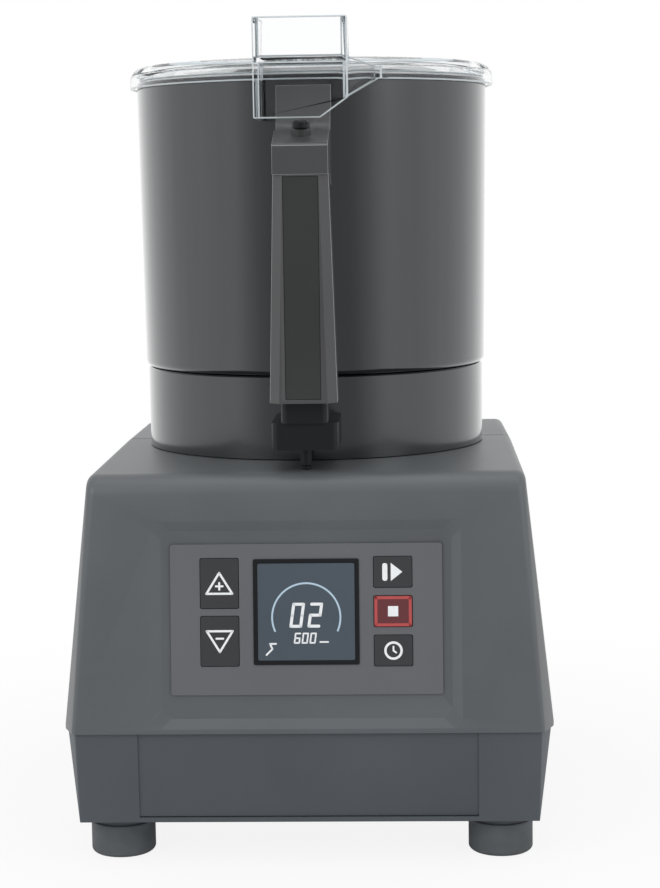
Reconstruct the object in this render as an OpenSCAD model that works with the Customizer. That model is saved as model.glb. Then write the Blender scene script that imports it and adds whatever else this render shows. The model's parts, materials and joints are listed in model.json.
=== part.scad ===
// Table-top vertical cutter mixer. Millimetres, +Z up, front towards -Y.
// The origin is the middle of the base's footprint, at the height of the table.

/* [Base] */
// Width of the base at its widest
base_w = 252; // [246:1:262]
// Room on the base in front of the handle
front_room = 15; // [12:0.5:18]
// Room on the deck behind the bowl
rear_room = 8.5; // [6:0.5:12]
// Width across the front corners at the foot of the upper shell
front_w = 242; // [238:1:246]
// Width across the rear corners at the foot of the upper shell
rear_w = 238; // [234:1:246]
// Width of the flat deck on top
deck_w = 225; // [221:1:229]
// Width of the deck at the shell seam
deck_mid_w = 226; // [222:1:230]
// Width of the deck's rear edge
deck_rear_w = 224; // [218:1:228]
// Height of the upper shell
shell_h = 131; // [129:1:142]
// Height of the lower pan
pan_h = 47; // [44:1:56]
// Set-back of the deck's front edge from the foot of the front face
deck_front_set = 13; // [9:1:17]
// Set-back of the deck's rear edge from the foot of the rear face
deck_rear_set = 37; // [32:1:42]
// Wall of the moulded shells
wall = 3; // [2.5:0.25:3.5]
// Distance of the shell seam behind the bowl's axis
seam_back = 14; // [10:1:18]
// Rounding along the deck's front edge
front_round = 12; // [9:1:14]
// Rounding along the deck's rear edge
rear_round = 8; // [7:1:10]
// Rounding of the deck's side edges
side_round = 5; // [4.5:0.5:6]
// Rounding of the flanks and the rear corners
corner_round = 10; // [9:1:13]
// Rounding of the front face's upright edges
front_corner_round = 3; // [2:0.5:5]
// Distance of the flanks' widest place from the foot of the front and rear face
flank_set = 16.5; // [14:0.5:20]
// Inset of the pan under the edge of the upper shell
pan_inset = 1.5; // [1:0.25:2]
// Inward lean of the pan's flanks over its height
pan_lean = 5.5; // [4:0.5:6]
// Inward lean of the pan's front and rear over its height
pan_end_lean = 1.5; // [1:0.5:2.5]

/* [Feet] */
// Height of the feet
foot_h = 22; // [20:1:26]
// Diameter of the feet
foot_d = 33.5; // [31:0.5:35]
// Distance of the feet from the flanks of the base
foot_side_set = 27; // [26:0.5:30]
// Distance of the feet from the front and rear end of the base
foot_end_set = 28.5; // [27:0.5:32]

/* [Control panel] */
// Width of the recess in the front face
recess_w = 158; // [154:1:164]
// Height of the recess
recess_h = 106; // [103:1:107]
// Depth of the recess
recess_depth = 3.5; // [2.5:0.25:4]
// Width of the recess's bevelled border
recess_bevel = 5; // [3:0.5:6]
// Width of the panel overlay
overlay_w = 138.6; // [134:0.2:142]
// Height of the panel overlay
overlay_h = 77; // [75:0.5:80]
// Thickness of the panel overlay
overlay_t = 1; // [0.8:0.1:1.4]
// Height of the display's middle above the foot of the shell
display_rise = 61.5; // [60:0.5:62]
// Outer side of the square display frame
frame_side = 54; // [52:0.5:56]
// Side of the square display window
window_side = 49.5; // [47:0.5:50]
// Distance of each key column from the middle
key_column = 44.2; // [43:0.2:46]
// Width of the keys
key_w = 19.4; // [18:0.2:20]
// Height of the two arrow keys
arrow_key_h = 25.4; // [24:0.2:26.4]
// Distance between the two arrow keys
arrow_pitch = 29.5; // [28.5:0.25:31]
// Height of the three small keys
small_key_h = 15.6; // [14:0.2:16.4]
// Distance between the small keys
small_pitch = 20; // [19:0.25:21]
// Travel of every key
key_press = 0.8; // [0.5:0.1:1]

/* [Bowl] */
// Diameter of the bowl at its rim
bowl_d = 197; // [195:0.5:199]
// Diameter of the bowl at its foot
bowl_foot_d = 193.5; // [192:0.5:195]
// Height of the bowl
bowl_h = 158.5; // [150:0.5:170]
// Wall of the bowl
bowl_t = 1.6; // [1.2:0.1:2]
// Rounding of the bowl's foot
bowl_round = 4; // [3:0.5:5]
// Diameter of the base ring under the bowl
ring_d = 191; // [188:0.5:193]
// Height of the base ring
ring_h = 44.5; // [42:0.5:48]
// Wall of the base ring
ring_t = 4; // [3:0.5:5]
// Gap between the base ring and the deck
deck_gap = 0.5; // [0.3:0.1:1]
// Outer diameter of the chimney inside the bowl
chimney_d = 25; // [24:0.5:26]
// Height of the chimney
chimney_h = 90; // [80:1:95]

/* [Handle] */
// Room for the fingers between the bowl and the grip
finger_room = 23; // [21:0.5:26]
// Depth of the grip
grip_depth = 28.5; // [27:0.5:30]
// Width of the grip at its foot
grip_foot_w = 34.5; // [33:0.5:38]
// Width of the grip at its top
grip_top_w = 28.2; // [27:0.2:31]
// How far the grip's front leans back over its height
grip_lean = 2.5; // [0:0.5:4]
// Height of the handle's bottom block
block_h = 14; // [12:0.5:16]
// Height of the stem between the block and the grip
stem_h = 11; // [9:0.5:13]
// Width of the stem
stem_w = 24.3; // [22:0.1:26]
// Gap between the bottom block and the deck
block_gap = 11; // [9:0.5:12]
// Height of the cap on the grip's front
cap_h = 15.4; // [13:0.2:16]
// Distance of the cap's top below the bowl's rim
cap_drop = 37; // [35:0.5:41]
// Diameter of the safety rod in the handle
rod_d = 6; // [5:0.5:7]
// Lift of the safety rod when the lid is turned open
rod_lift = 4; // [3:0.5:4.5]

/* [Lid] */
// Outer diameter of the lid
lid_d = 205; // [203.5:0.5:209]
// Wall of the lid
lid_t = 2.5; // [2:0.1:3]
// How far the lid's skirt reaches below the bowl's rim
lid_skirt = 3; // [2.5:0.5:5]
// Rounding of the lid's shoulder
lid_round = 8; // [7:0.5:8.5]
// Rise of the lid's crown above its shoulder
lid_crown = 1; // [0.5:0.5:2]
// Width of the porch over the handle
porch_w = 48; // [46:0.5:52]
// Height of the grip walls on the porch
porch_wall_h = 20; // [16:0.5:24]
// How far the lock tab reaches below the skirt
tab_drop = 21; // [19:0.5:22]
// Diameter of the feed opening
feed_d = 44; // [40:0.5:50]

/* [Motor and cutter] */
// Diameter of the motor
motor_d = 114; // [108:1:118]
// Height of the stator core
stator_h = 55; // [45:1:60]
// Diameter of the rotor
rotor_d = 60; // [54:1:64]
// Diameter of the motor shaft
shaft_d = 16; // [15:0.5:17]
// Diameter of the motor flange
flange_d = 176; // [172:1:180]
// Diameter of the spigot that centres the bowl
spigot_d = 86; // [82:1:88]
// Height of the spigot above the deck
spigot_h = 15; // [13:0.5:17]
// Diameter swept by the blades
blade_sweep_d = 186; // [176:1:187]
// Thickness of the blades
blade_t = 2.5; // [2:0.25:3]
// Outer diameter of the cutter hub
hub_d = 38; // [36:0.5:40]
// Diameter of the clamping knob's sleeve
sleeve_d = 50; // [47:0.5:54]

/* [Fits] */
// Radial clearance of seats and running fits
fit = 0.05; // [0.03:0.01:0.08]
// Clearance of pieces that slide or meet by hand
gap = 0.3; // [0.25:0.05:0.4]

/* [Hidden] */

$fn = 96;
// Facets of the rounded ends of hulls
hull_fn = 32;
// Height of the thin slices between which a solid is stretched
slice_h = 1;
// Points of each arc in an outline
arc_steps = 6;
// Overrun of every cut
over = 1;

// Colours
shell_grey = [0.36, 0.38, 0.39];
panel_grey = [0.40, 0.41, 0.43];
key_grey = [0.20, 0.21, 0.23];
steel_dark = [0.32, 0.33, 0.35];
steel_bright = [0.75, 0.76, 0.78];
soft_black = [0.14, 0.14, 0.15];
handle_grey = [0.24, 0.24, 0.26];
clear_tint = [0.85, 0.90, 0.92, 0.45];
copper = [0.72, 0.45, 0.25];
board_green = [0.10, 0.35, 0.20];

// Lengths along the base
bowl_r = bowl_d / 2;
grip_back = bowl_r + finger_room;
grip_reach = grip_back + grip_depth;
axis_to_front = grip_reach + front_room;
base_d = axis_to_front + bowl_r + rear_room + deck_rear_set;
axis_back = axis_to_front - base_d / 2;

// Heights of the main levels
pan_z = foot_h;
shell_z = pan_z + pan_h;
deck_z = shell_z + shell_h;
deck_under_z = deck_z - wall;
ring_z = deck_z + deck_gap;
bowl_z = ring_z + ring_h;
rim_z = bowl_z + bowl_h;
display_z = shell_z + display_rise;

// Upper shell
shell_lip = 2;
slim_r = 0.5;
seam_y = axis_back + seam_back;
groove_w = 1.4;
groove_depth = 0.8;

// Tilt of the front face, tangent from its foot to the rounding of the deck's edge
face_run = deck_front_set + front_round;
face_rise = shell_h - shell_lip - front_round;
face_tilt = 90 - atan2(face_rise, face_run) - asin(front_round / norm([face_run, face_rise]));
function face_y(z) = -base_d / 2 + (z - shell_z - shell_lip) * tan(face_tilt);

// Screws and bosses of the housing
screw_r = 1.6;
screw_head_r = 3.2;
screw_head_h = 2.4;
screw_end_gap = 1;
boss_r = 5;
boss_x = base_w / 2 - wall - 2.6 * boss_r;
boss_y = 70;
boss_h = 32;
boss_bore = 22;
boss_counter = 18;

// Pan floor and bottom plate
floor_open_w = 130;
floor_open_d = 180;
plate_lap = 8;
plate_t = 1.5;
plate_screw_inset = 4;
slot_w = 3;
slot_pitch = 9;
slot_l = 100;
pilaster_w = 34;
pilaster_depth = 0.8;
pilaster_rise = 2.5;
foot_boss_r = 8;
foot_boss_h = 10;
foot_screw_r = 2.5;
foot_screw_head_r = 5;
foot_screw_head_h = 4;
foot_counter_h = 6;
foot_neck = 1.6;
foot_neck_h = 5;
foot_edge = 1.5;

// Stack of the control panel, measured from the front face, inwards negative
recess_y = -6.4;
recess_r = 6;
overlay_y = -3.8;
overlay_r = 1.5;
panel_t = 3;
floor_n = -recess_depth;
panel_back_n = floor_n - panel_t;
overlay_top_n = floor_n + overlay_t;
frame_proud = 0.6;
window_sink = 0.2;
window_top_n = overlay_top_n + frame_proud - window_sink;
key_proud = 0.5;
key_r = 1;
key_flange = 1.4;
key_flange_t = 1.2;
mat_t = 1.5;
mat_gap = key_press + gap;
key_back_n = panel_back_n - gap - key_flange_t;
mat_top_n = key_back_n - mat_gap;
mat_back_n = mat_top_n - mat_t;
switch_cap_h = 1.2;
board_top_n = mat_back_n - switch_cap_h;
board_t = 1.6;
board_w = 132;
board_h = 72;
standoff_r = 3;
standoff_inset = 5;
standoff_x = board_w / 2 - standoff_inset;
standoff_y = board_h / 2 - standoff_inset;
arrow_keys = [[-key_column, arrow_pitch / 2], [-key_column, -arrow_pitch / 2]];
small_keys = [[key_column, small_pitch], [key_column, 0], [key_column, -small_pitch]];

// Bowl
bowl_foot_r = bowl_foot_d / 2;
chimney_r = chimney_d / 2;
chimney_t = 2;
ring_r = ring_d / 2;
seat_h = 8;
seat_r = 70;
web_t = 4;
collar_r = 50;
ring_edge = 0.8;

// Handle, measured along the front radius and in height
rod_r = rod_d / 2;
rod_set = 9.5;
rod_at = grip_back + rod_set;
block_z = deck_z + block_gap;
stem_z = block_z + block_h;
grip_z = stem_z + stem_h;
cap_top_z = rim_z - cap_drop;
cap_z = cap_top_z - cap_h;
grip_h = cap_z - grip_z;
grip_bevel_w = 5;
grip_bevel_d = 5;
grip_back_r = 6;
stem_overhang = 2;
stem_inset = 8;
stem_back = grip_back - stem_overhang;
stem_front = grip_reach - stem_inset;
stem_round = 4;
block_inset = 10;
block_front = grip_reach - block_inset;
insert_w = 18;
insert_t = 1.6;
insert_sink = 0.3;
insert_foot = 2;
insert_head = 0.8;
neck_t = 3.5;
neck_clear = 3;
neck_drop = 5;
neck_top_z = rim_z - lid_skirt - neck_clear;
neck_foot_z = cap_z - neck_drop;
cap_edge = 1;
arm_back_rise = 7;
tenon_w = 12;
tenon_d = 6;
tenon_h = 10;
tenon_wall = 2;
tenon_front = grip_reach - grip_lean - insert_t - insert_sink - tenon_wall;
chamber_r = rod_d;
chamber_rise = 31;
chamber_z = grip_z + chamber_rise;
chamber_h = 48;
collar_h = 3;
spring_wire_r = 0.5;
spring_r = 4.6;
spring_turns = 8;
spring_play = 3;
spring_h = chamber_h - collar_h - rod_lift - spring_play;
guide_r = 5;
guide_h = 6;
guide_margin = 1;
guide_top_z = cap_top_z + arm_back_rise;
block_screw_x = 10;
rod_cap_r = 4.5;
rod_cap_h = 4;
rod_cap_edge = 1;
tab_gap = 1.2;

// Lid
lid_r = lid_d / 2;
skirt_z = rim_z - lid_skirt;
shoulder_rise = 9;
lid_shoulder_z = rim_z + shoulder_rise;
lid_crown_z = lid_shoulder_z + lid_crown;
tab_z = skirt_z - tab_drop;
porch_drop = 2;
porch_z = lid_shoulder_z - porch_drop;
rod_cover = 2;
porch_reach = rod_at + rod_cover;
tab_flat_right = 10;
wing_right = 41;
porch_half = porch_w / 2;
porch_back = lid_r - lid_round;
wing_rise = 0.8;
wing_z = skirt_z + wing_rise;
edge_slope = (wing_z - tab_z) / (wing_right - tab_flat_right);
edge_z = tab_z + (porch_half - tab_flat_right) * edge_slope;
seal_h = 1;
seal_w = 5.5;
seal_leg_h = 7;
seal_taper = 0.5;
land_slope = 1;
feed_r = feed_d / 2;
feed_collar_h = 0.6;
feed_collar_t = 3;
stopper_flange = 4;
stopper_t = 1.2;
stopper_bar_w = 8;
stopper_rim = 4;
stopper_floor_t = 1.2;

// Motor
motor_r = motor_d / 2;
rotor_r = rotor_d / 2;
shaft_r = shaft_d / 2;
flange_t = 5;
flange_z = deck_under_z - flange_t;
flange_screw_inset = 8;
flange_screw_at = flange_d / 2 - flange_screw_inset;
flange_screw_head_h = 2;
bell_wall = 5;
bell_h = 39;
stator_z = flange_z - bell_h - stator_h;
lower_bell_h = 29;
lower_bell_z = stator_z - lower_bell_h;
lower_bell_t = 6;
winding_h = 13;
winding_r = 50;
bearing_r = 17.5;
bearing_h = 10;
bearing_seat_h = 11;
bearing_wall = 5;
tie_r = 2.5;
tie_offset = 5;
tie_at = motor_r + tie_offset;
tie_ear_r = 5.5;
tie_head_r = 4.5;
ear_h = 6;
lower_ear_z = lower_bell_z + lower_bell_h - ear_h;
air_gap = 0.3;
fan_r = 45;
fan_h = 12;
fan_hub_r = 14;
fan_blades = 9;
fan_blade_t = 2;
fan_gap = 3;
fan_z = lower_bell_z - fan_gap - fan_h;
end_ring_set = 1;
shaft_clear = 2;
seal_r = 16;
seal_ring_h = 7;

// Cutter
thrust_h = 3.4;
hub_z = bowl_z + bowl_t + thrust_h;
hub_r = hub_d / 2;
hub_flange_t = 2;
hub_flange_lip = 1;
hub_flange_r = sleeve_d / 2 + hub_flange_lip;
chimney_top_z = bowl_z + chimney_h;
hub_cap_t = 20;
hub_head_room = 2;
hub_top_z = chimney_top_z + hub_head_room + hub_cap_t;
lower_blade_z = hub_z + hub_flange_t;
spacer_h = 18;
upper_blade_z = lower_blade_z + blade_t + spacer_h;
sleeve_r = sleeve_d / 2;
spacer_set = 1;
sleeve_z = upper_blade_z + blade_t;
knob_h = 20;
knob_r = 31;
knob_lobes = 6;
knob_flute_r = 9;
knob_edge = 1;
blade_root_w = 24;
blade_tip_w = 9;
blade_turn_share = 0.172;
tip_cover = 6;
shaft_tip_z = hub_top_z - tip_cover;

// Inside of the base
plunger_r = 2.5;
plunger_proud = 2;
plunger_flange_r = 5;
plunger_flange_t = 2;
switch_w = 22;
switch_d = 11;
switch_h = 16;
switch_drop = 8;
switch_top_z = deck_under_z - switch_drop;
bracket_t = 1.5;
gland_set = 56;
gland_x = base_w / 2 - gland_set;
gland_rise = 37;
gland_z = shell_z + gland_rise;
gland_bore_r = 3.5;
gland_body_r = 9;
gland_neck_r = 6;
gland_body_h = 10;
gland_nut_h = 5;
gland_edge = 1;
pocket_half = 16;
pocket_depth = 26;
pocket_y = base_d / 2 - pocket_depth;
vent_count = 6;
vent_w = 4;
vent_pitch = 11;
vent_h = 42;
vent_set = 48;
vent_x = -base_w / 2 + vent_set;
inverter_set = 46;
inverter_x = -base_w / 2 + inverter_set;
inverter_l = 110;
inverter_h = 70;
inverter_y = 10;
rail_h = 8;
rail_l = 10;
rail_t = 4;
sink_t = 4;
sink_fin_l = 13;
sink_fins = 9;
sink_fin_t = 1.5;
sink_h = 52;
sink_z = pan_z + 5 * wall;
cap_r = 10;
cap_l = 13;
cap_pitch = 28;
cap_rise = 7;
terminal_l = 36;
terminal_d = 18;
terminal_h = 16;
lead_r = 3;
lead_bend = 14;

// Points on an arc about c, from angle a to angle b
function arc(c, r, a, b) =
  [for (i = [0:arc_steps]) c + r * [cos(a + (b - a) * i / arc_steps), sin(a + (b - a) * i / arc_steps)]];

module at_bowl() {
  translate([0, axis_back, 0]) children();
}

// The front face: X to the right, Y up the face, Z out of it, from the display's middle
module at_face() {
  translate([0, face_y(display_z), display_z]) rotate([90 - face_tilt, 0, 0]) children();
}

// A profile given as [distance in front of the bowl's axis, height], as wide as w
module front_profile(w, points) {
  at_bowl() translate([w / 2, 0, 0]) rotate([0, 0, -90]) rotate([90, 0, 0])
    linear_extrude(w) polygon(points);
}

// Places along the front radius: r in front of the bowl's axis, height z
module at_front(r, z) {
  translate([0, axis_back - r, z]) children();
}

module plate(w, h, r) {
  square([w - 2 * r, h], center = true);
  square([w, h - 2 * r], center = true);
  for (x = [-1, 1], y = [-1, 1])
    translate([x * (w / 2 - r), y * (h / 2 - r)]) circle(r);
}

module slab(w, h, r, from, to) {
  translate([0, 0, from]) linear_extrude(to - from) plate(w, h, r);
}

module tube(r_out, r_in, h) {
  difference() {
    cylinder(r = r_out, h = h);
    translate([0, 0, -over]) cylinder(r = r_in, h = h + 2 * over);
  }
}

// An upright post at an outer corner of the footprint; turn_in says which way in is, along X and Y
module post(corner, turn_in, round_r, set, z, h) {
  r = max(round_r - set, slim_r);
  translate([corner.x + turn_in.x * (set + r), corner.y + turn_in.y * (set + r), z])
    cylinder(r = r, h = h, $fn = hull_fn);
}

// Posts all round the footprint, standing in by set, and the flanks' by flank_in
module posts(set, flank_in, z, h) {
  for (side = [-1, 1]) {
    post([side * front_w / 2, -base_d / 2], [-side, 1], front_corner_round, set, z, h);
    post([side * rear_w / 2, base_d / 2], [-side, -1], corner_round, set, z, h);
    for (y = [-1, 1])
      post([side * base_w / 2, y * (base_d / 2 - flank_set)], [-side, 0], corner_round, flank_in, z, h);
  }
}

// Rounded end of a deck edge: a wheel along X with a rounded rim
module deck_corner(r, set) {
  rotate([0, 90, 0]) rotate_extrude($fn = hull_fn) intersection() {
    translate([r - side_round, 0]) circle(side_round - set, $fn = hull_fn);
    translate([0, -r]) square(2 * r);
  }
}

// The upper shell's outer form, moved inwards by set and lengthened downwards by drop
module shell_form(set, drop) {
  hull() {
    posts(set, set, shell_z - drop, shell_lip + drop);
    for (side = [-1, 1]) {
      translate([side * (deck_w / 2 - side_round), -base_d / 2 + face_run, deck_z - front_round])
        deck_corner(front_round, set);
      translate([side * (deck_mid_w / 2 - side_round), seam_y, deck_z - rear_round])
        deck_corner(rear_round, set);
      translate([side * (deck_rear_w / 2 - side_round), base_d / 2 - deck_rear_set - rear_round,
                 deck_z - rear_round])
        deck_corner(rear_round, set);
    }
  }
}

// The lower pan's outer form, moved inwards by set
module pan_form(set, rise) {
  foot_rise = rise > 0 ? wall : 0;
  hull() {
    posts(pan_inset + set, pan_inset + set, shell_z - shell_lip, shell_lip + rise);
    posts(pan_inset + pan_end_lean + set, pan_inset + pan_lean + set, pan_z + foot_rise, shell_lip);
  }
}

module at_bosses() {
  for (x = [-1, 1], y = [-1, 1]) translate([x * boss_x, y * boss_y, 0]) children();
}

module at_feet() {
  for (x = [-1, 1], y = [-1, 1])
    translate([x * (base_w / 2 - foot_side_set), y * (base_d / 2 - foot_end_set), 0]) children();
}

module at_flange_screws() {
  at_bowl() for (a = [45:90:315]) rotate([0, 0, a]) translate([flange_screw_at, 0, 0]) children();
}

module shell_bosses() {
  for (x = [-1, 1], y = [-1, 1])
    translate([x * (boss_x + base_w / 4 - boss_r), y * boss_y, shell_z + boss_h / 2])
      cube([base_w / 2, 2 * boss_r, boss_h], center = true);
}

module boss_bores() {
  at_bosses() translate([0, 0, shell_z - over]) cylinder(r = screw_r + fit, h = boss_bore + over);
}

module deck_bores() {
  at_bowl() translate([0, 0, deck_under_z - over])
    cylinder(r = spigot_d / 2 + fit, h = wall + 2 * over);
  at_flange_screws() translate([0, 0, deck_under_z - over])
    cylinder(r = screw_r + gap, h = wall + 2 * over);
  at_front(rod_at, deck_under_z - over) cylinder(r = plunger_r + fit, h = wall + 2 * over);
}

module display_opening(clear, from, to) {
  slab(window_side + 2 * clear, window_side + 2 * clear, key_r, from, to);
}

module key_openings(clear, from, to) {
  for (p = arrow_keys)
    translate(p) slab(key_w + 2 * clear, arrow_key_h + 2 * clear, key_r, from, to);
  for (p = small_keys)
    translate(p) slab(key_w + 2 * clear, small_key_h + 2 * clear, key_r, from, to);
}

module panel_block() {
  at_face() translate([0, recess_y, 0])
    slab(recess_w + 2 * wall, recess_h, recess_r, panel_back_n, over);
}

module panel_recess() {
  translate([0, recess_y, 0]) hull() {
    slab(recess_w, recess_h, recess_r, 0, over, $fn = hull_fn);
    slab(recess_w - 2 * recess_bevel, recess_h - 2 * recess_bevel, recess_r, floor_n, 0, $fn = hull_fn);
  }
}

module front_housing() color(shell_grey) {
  difference() {
    shell_form(0, 0);
    difference() {
      shell_form(wall, over);
      panel_block();
      shell_bosses();
    }
    translate([-base_w, seam_y, 0]) cube([2 * base_w, base_d, 2 * deck_z]);
    intersection() {
      translate([-base_w, seam_y - groove_w, 0]) cube([2 * base_w, base_d, 2 * deck_z]);
      difference() {
        shell_form(-over, 0);
        shell_form(groove_depth, over);
      }
    }
    at_face() {
      panel_recess();
      display_opening(gap, panel_back_n - over, over);
      key_openings(gap, panel_back_n - over, over);
    }
    deck_bores();
    boss_bores();
  }
}

module rear_housing() color(shell_grey) {
  difference() {
    shell_form(0, 0);
    difference() {
      shell_form(wall, over);
      shell_bosses();
      translate([gland_x, base_d / 2 + pocket_y - wall, gland_z])
        cube([2 * (pocket_half + wall), base_d, 2 * (pocket_half + wall)], center = true);
    }
    translate([-base_w, seam_y - base_d, 0]) cube([2 * base_w, base_d, 2 * deck_z]);
    translate([gland_x, base_d / 2 + pocket_y, gland_z])
      cube([2 * pocket_half, base_d, 2 * pocket_half], center = true);
    translate([gland_x, pocket_y + over, gland_z]) rotate([90, 0, 0])
      cylinder(r = gland_neck_r + fit, h = wall + 2 * over);
    for (i = [0:vent_count - 1])
      translate([vent_x + i * vent_pitch, base_d / 2 - deck_rear_set, gland_z - vent_h / 2])
        cube([vent_w, base_d, vent_h]);
    deck_bores();
    boss_bores();
  }
}

module pan_solid() {
  difference() {
    pan_form(0, 0);
    difference() {
      pan_form(wall, over);
      at_bosses() cylinder(r = boss_r, h = deck_z);
    }
  }
  at_feet() translate([0, 0, pan_z]) cylinder(r = foot_boss_r, h = foot_boss_h);
  for (y = [-1, 1])
    translate([inverter_x - board_t / 2, inverter_y + y * (inverter_l - rail_l) / 2,
               pan_z + (rail_h + wall) / 2])
      cube([2 * rail_t + board_t, rail_l, rail_h + wall], center = true);
}

module lower_pan() color(shell_grey) {
  difference() {
    pan_solid();
    translate([0, 0, pan_z]) cube([floor_open_w, floor_open_d, 4 * wall], center = true);
    difference() {
      translate([0, -base_d / 2, shell_z / 2 + pan_z + pilaster_rise])
        cube([front_w - 2 * pilaster_w, corner_round, shell_z], center = true);
      pan_form(pilaster_depth, over);
    }
    at_bosses() {
      cylinder(r = screw_r + gap, h = deck_z);
      cylinder(r = screw_head_r + gap, h = pan_z + boss_counter);
    }
    at_feet() cylinder(r = foot_screw_r + fit, h = deck_z);
    translate([inverter_x - board_t / 2, inverter_y, pan_z + wall + rail_h / 2 + wall])
      cube([board_t + 2 * fit, inverter_l + 2 * fit, rail_h + 2 * wall], center = true);
    at_plate_screws() cylinder(r = screw_r + fit, h = pan_z + 2 * wall);
  }
}

module at_plate_screws() {
  for (x = [-1, 1], y = [-1, 0, 1])
    translate([x * (floor_open_w / 2 + plate_screw_inset), y * floor_open_d / 2, 0]) children();
}

module bottom_plate() color(steel_bright) {
  slots = floor(floor_open_d / slot_pitch) - 2;
  difference() {
    slab(floor_open_w + 2 * plate_lap, floor_open_d + 2 * plate_lap, plate_lap, pan_z - plate_t, pan_z);
    for (i = [0:slots - 1])
      translate([0, (i - (slots - 1) / 2) * slot_pitch, pan_z])
        cube([slot_l, slot_w, 4 * plate_t], center = true);
    at_plate_screws() cylinder(r = screw_r + gap, h = pan_z + over);
  }
}

module feet() color(soft_black) {
  foot_r = foot_d / 2;
  at_feet() rotate_extrude() polygon([
    [foot_screw_head_r + gap, 0], [foot_r - foot_edge, 0], [foot_r, foot_edge],
    [foot_r, foot_h - foot_neck_h], [foot_r - foot_neck, foot_h - foot_neck_h],
    [foot_r - foot_neck, foot_h], [foot_screw_r + fit, foot_h],
    [foot_screw_r + fit, foot_counter_h + foot_screw_head_h],
    [foot_screw_head_r + gap, foot_counter_h + foot_screw_head_h]
  ]);
}

module foot_screws() color(steel_bright) {
  at_feet() translate([0, 0, foot_counter_h]) {
    cylinder(r = foot_screw_head_r, h = foot_screw_head_h);
    cylinder(r = foot_screw_r, h = foot_h + foot_boss_h - foot_counter_h);
  }
}

module base_screws() color(steel_bright) {
  at_bosses() {
    translate([0, 0, pan_z + boss_counter - screw_head_h]) cylinder(r = screw_head_r, h = screw_head_h);
    translate([0, 0, pan_z + boss_counter - screw_head_h])
      cylinder(r = screw_r, h = pan_h + boss_bore - screw_end_gap - boss_counter + screw_head_h);
  }
  at_plate_screws() translate([0, 0, pan_z - plate_t - screw_head_h]) {
    cylinder(r = screw_head_r, h = screw_head_h);
    cylinder(r = screw_r, h = screw_head_h + plate_t + wall);
  }
}

module control_overlay() color(panel_grey) {
  at_face() difference() {
    translate([0, overlay_y, 0]) slab(overlay_w, overlay_h, overlay_r, floor_n, overlay_top_n);
    display_opening(gap, floor_n - over, over);
    key_openings(gap, floor_n - over, over);
  }
}

module display_frame() color(soft_black) {
  at_face() difference() {
    slab(frame_side, frame_side, key_r, overlay_top_n, overlay_top_n + frame_proud);
    display_opening(gap / 2, floor_n - over, over);
  }
}

module display_window() color(steel_dark) {
  at_face() display_opening(0, panel_back_n, window_top_n);
}

module display_module() color(soft_black) {
  at_face() slab(window_side, window_side, key_r, board_top_n, panel_back_n - gap);
}

module key(place, h) {
  at_face() translate(place) {
    slab(key_w, h, key_r, key_back_n, overlay_top_n + key_proud);
    slab(key_w + 2 * key_flange, h + 2 * key_flange, key_r, key_back_n, key_back_n + key_flange_t);
  }
}

module key_up() color(key_grey) key(arrow_keys[0], arrow_key_h);
module key_down() color(key_grey) key(arrow_keys[1], arrow_key_h);
module key_start() color(key_grey) key(small_keys[0], small_key_h);
module key_stop() color([0.45, 0.12, 0.12]) key(small_keys[1], small_key_h);
module key_timer() color(key_grey) key(small_keys[2], small_key_h);

module mat_form(clear) {
  for (side = [-1, 1])
    translate([side * key_column, 0, 0])
      square([key_w + 4 * key_flange + 2 * clear, overlay_h - 8 * key_flange + 2 * clear], center = true);
}

module key_mat() color([0.55, 0.56, 0.58]) {
  at_face() translate([0, 0, mat_back_n]) linear_extrude(mat_t) mat_form(0);
}

module control_board() color(board_green) {
  at_face() difference() {
    union() {
      translate([0, overlay_y, 0]) slab(board_w, board_h, overlay_r, board_top_n - board_t, board_top_n);
      for (p = concat(arrow_keys, small_keys))
        translate([p.x, p.y, board_top_n]) cylinder(r = key_w / 5, h = switch_cap_h);
      for (side = [-1, 1])
        translate([side * board_w / 5, overlay_y, board_top_n - board_t])
          translate([0, 0, -switch_cap_h]) slab(key_w, key_w, key_r, 0, switch_cap_h);
    }
    translate([0, overlay_y, 0]) for (x = [-1, 1], y = [-1, 1])
      translate([x * standoff_x, y * standoff_y, board_top_n - board_t - over])
        cylinder(r = screw_r, h = board_t + 2 * over);
  }
}

module board_standoffs() color(steel_bright) {
  at_face() translate([0, overlay_y, 0]) for (x = [-1, 1], y = [-1, 1])
    translate([x * standoff_x, y * standoff_y, board_top_n]) {
      cylinder(r = standoff_r, h = panel_back_n - board_top_n, $fn = 6);
      translate([0, 0, -board_t]) cylinder(r = screw_r - fit, h = board_t);
      translate([0, 0, -board_t - screw_head_h]) cylinder(r = screw_head_r, h = screw_head_h);
    }
}

// Ears that carry the tie bolts
module ears(z) {
  for (a = [0:90:270]) rotate([0, 0, a]) translate([0, 0, z]) difference() {
    union() {
      translate([tie_at, 0, 0]) cylinder(r = tie_ear_r, h = ear_h);
      translate([motor_r - bell_wall / 2, -tie_ear_r, 0])
        cube([tie_at - motor_r + bell_wall / 2, 2 * tie_ear_r, ear_h]);
    }
    translate([tie_at, 0, -over]) cylinder(r = tie_r + fit, h = ear_h + 2 * over);
  }
}

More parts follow.
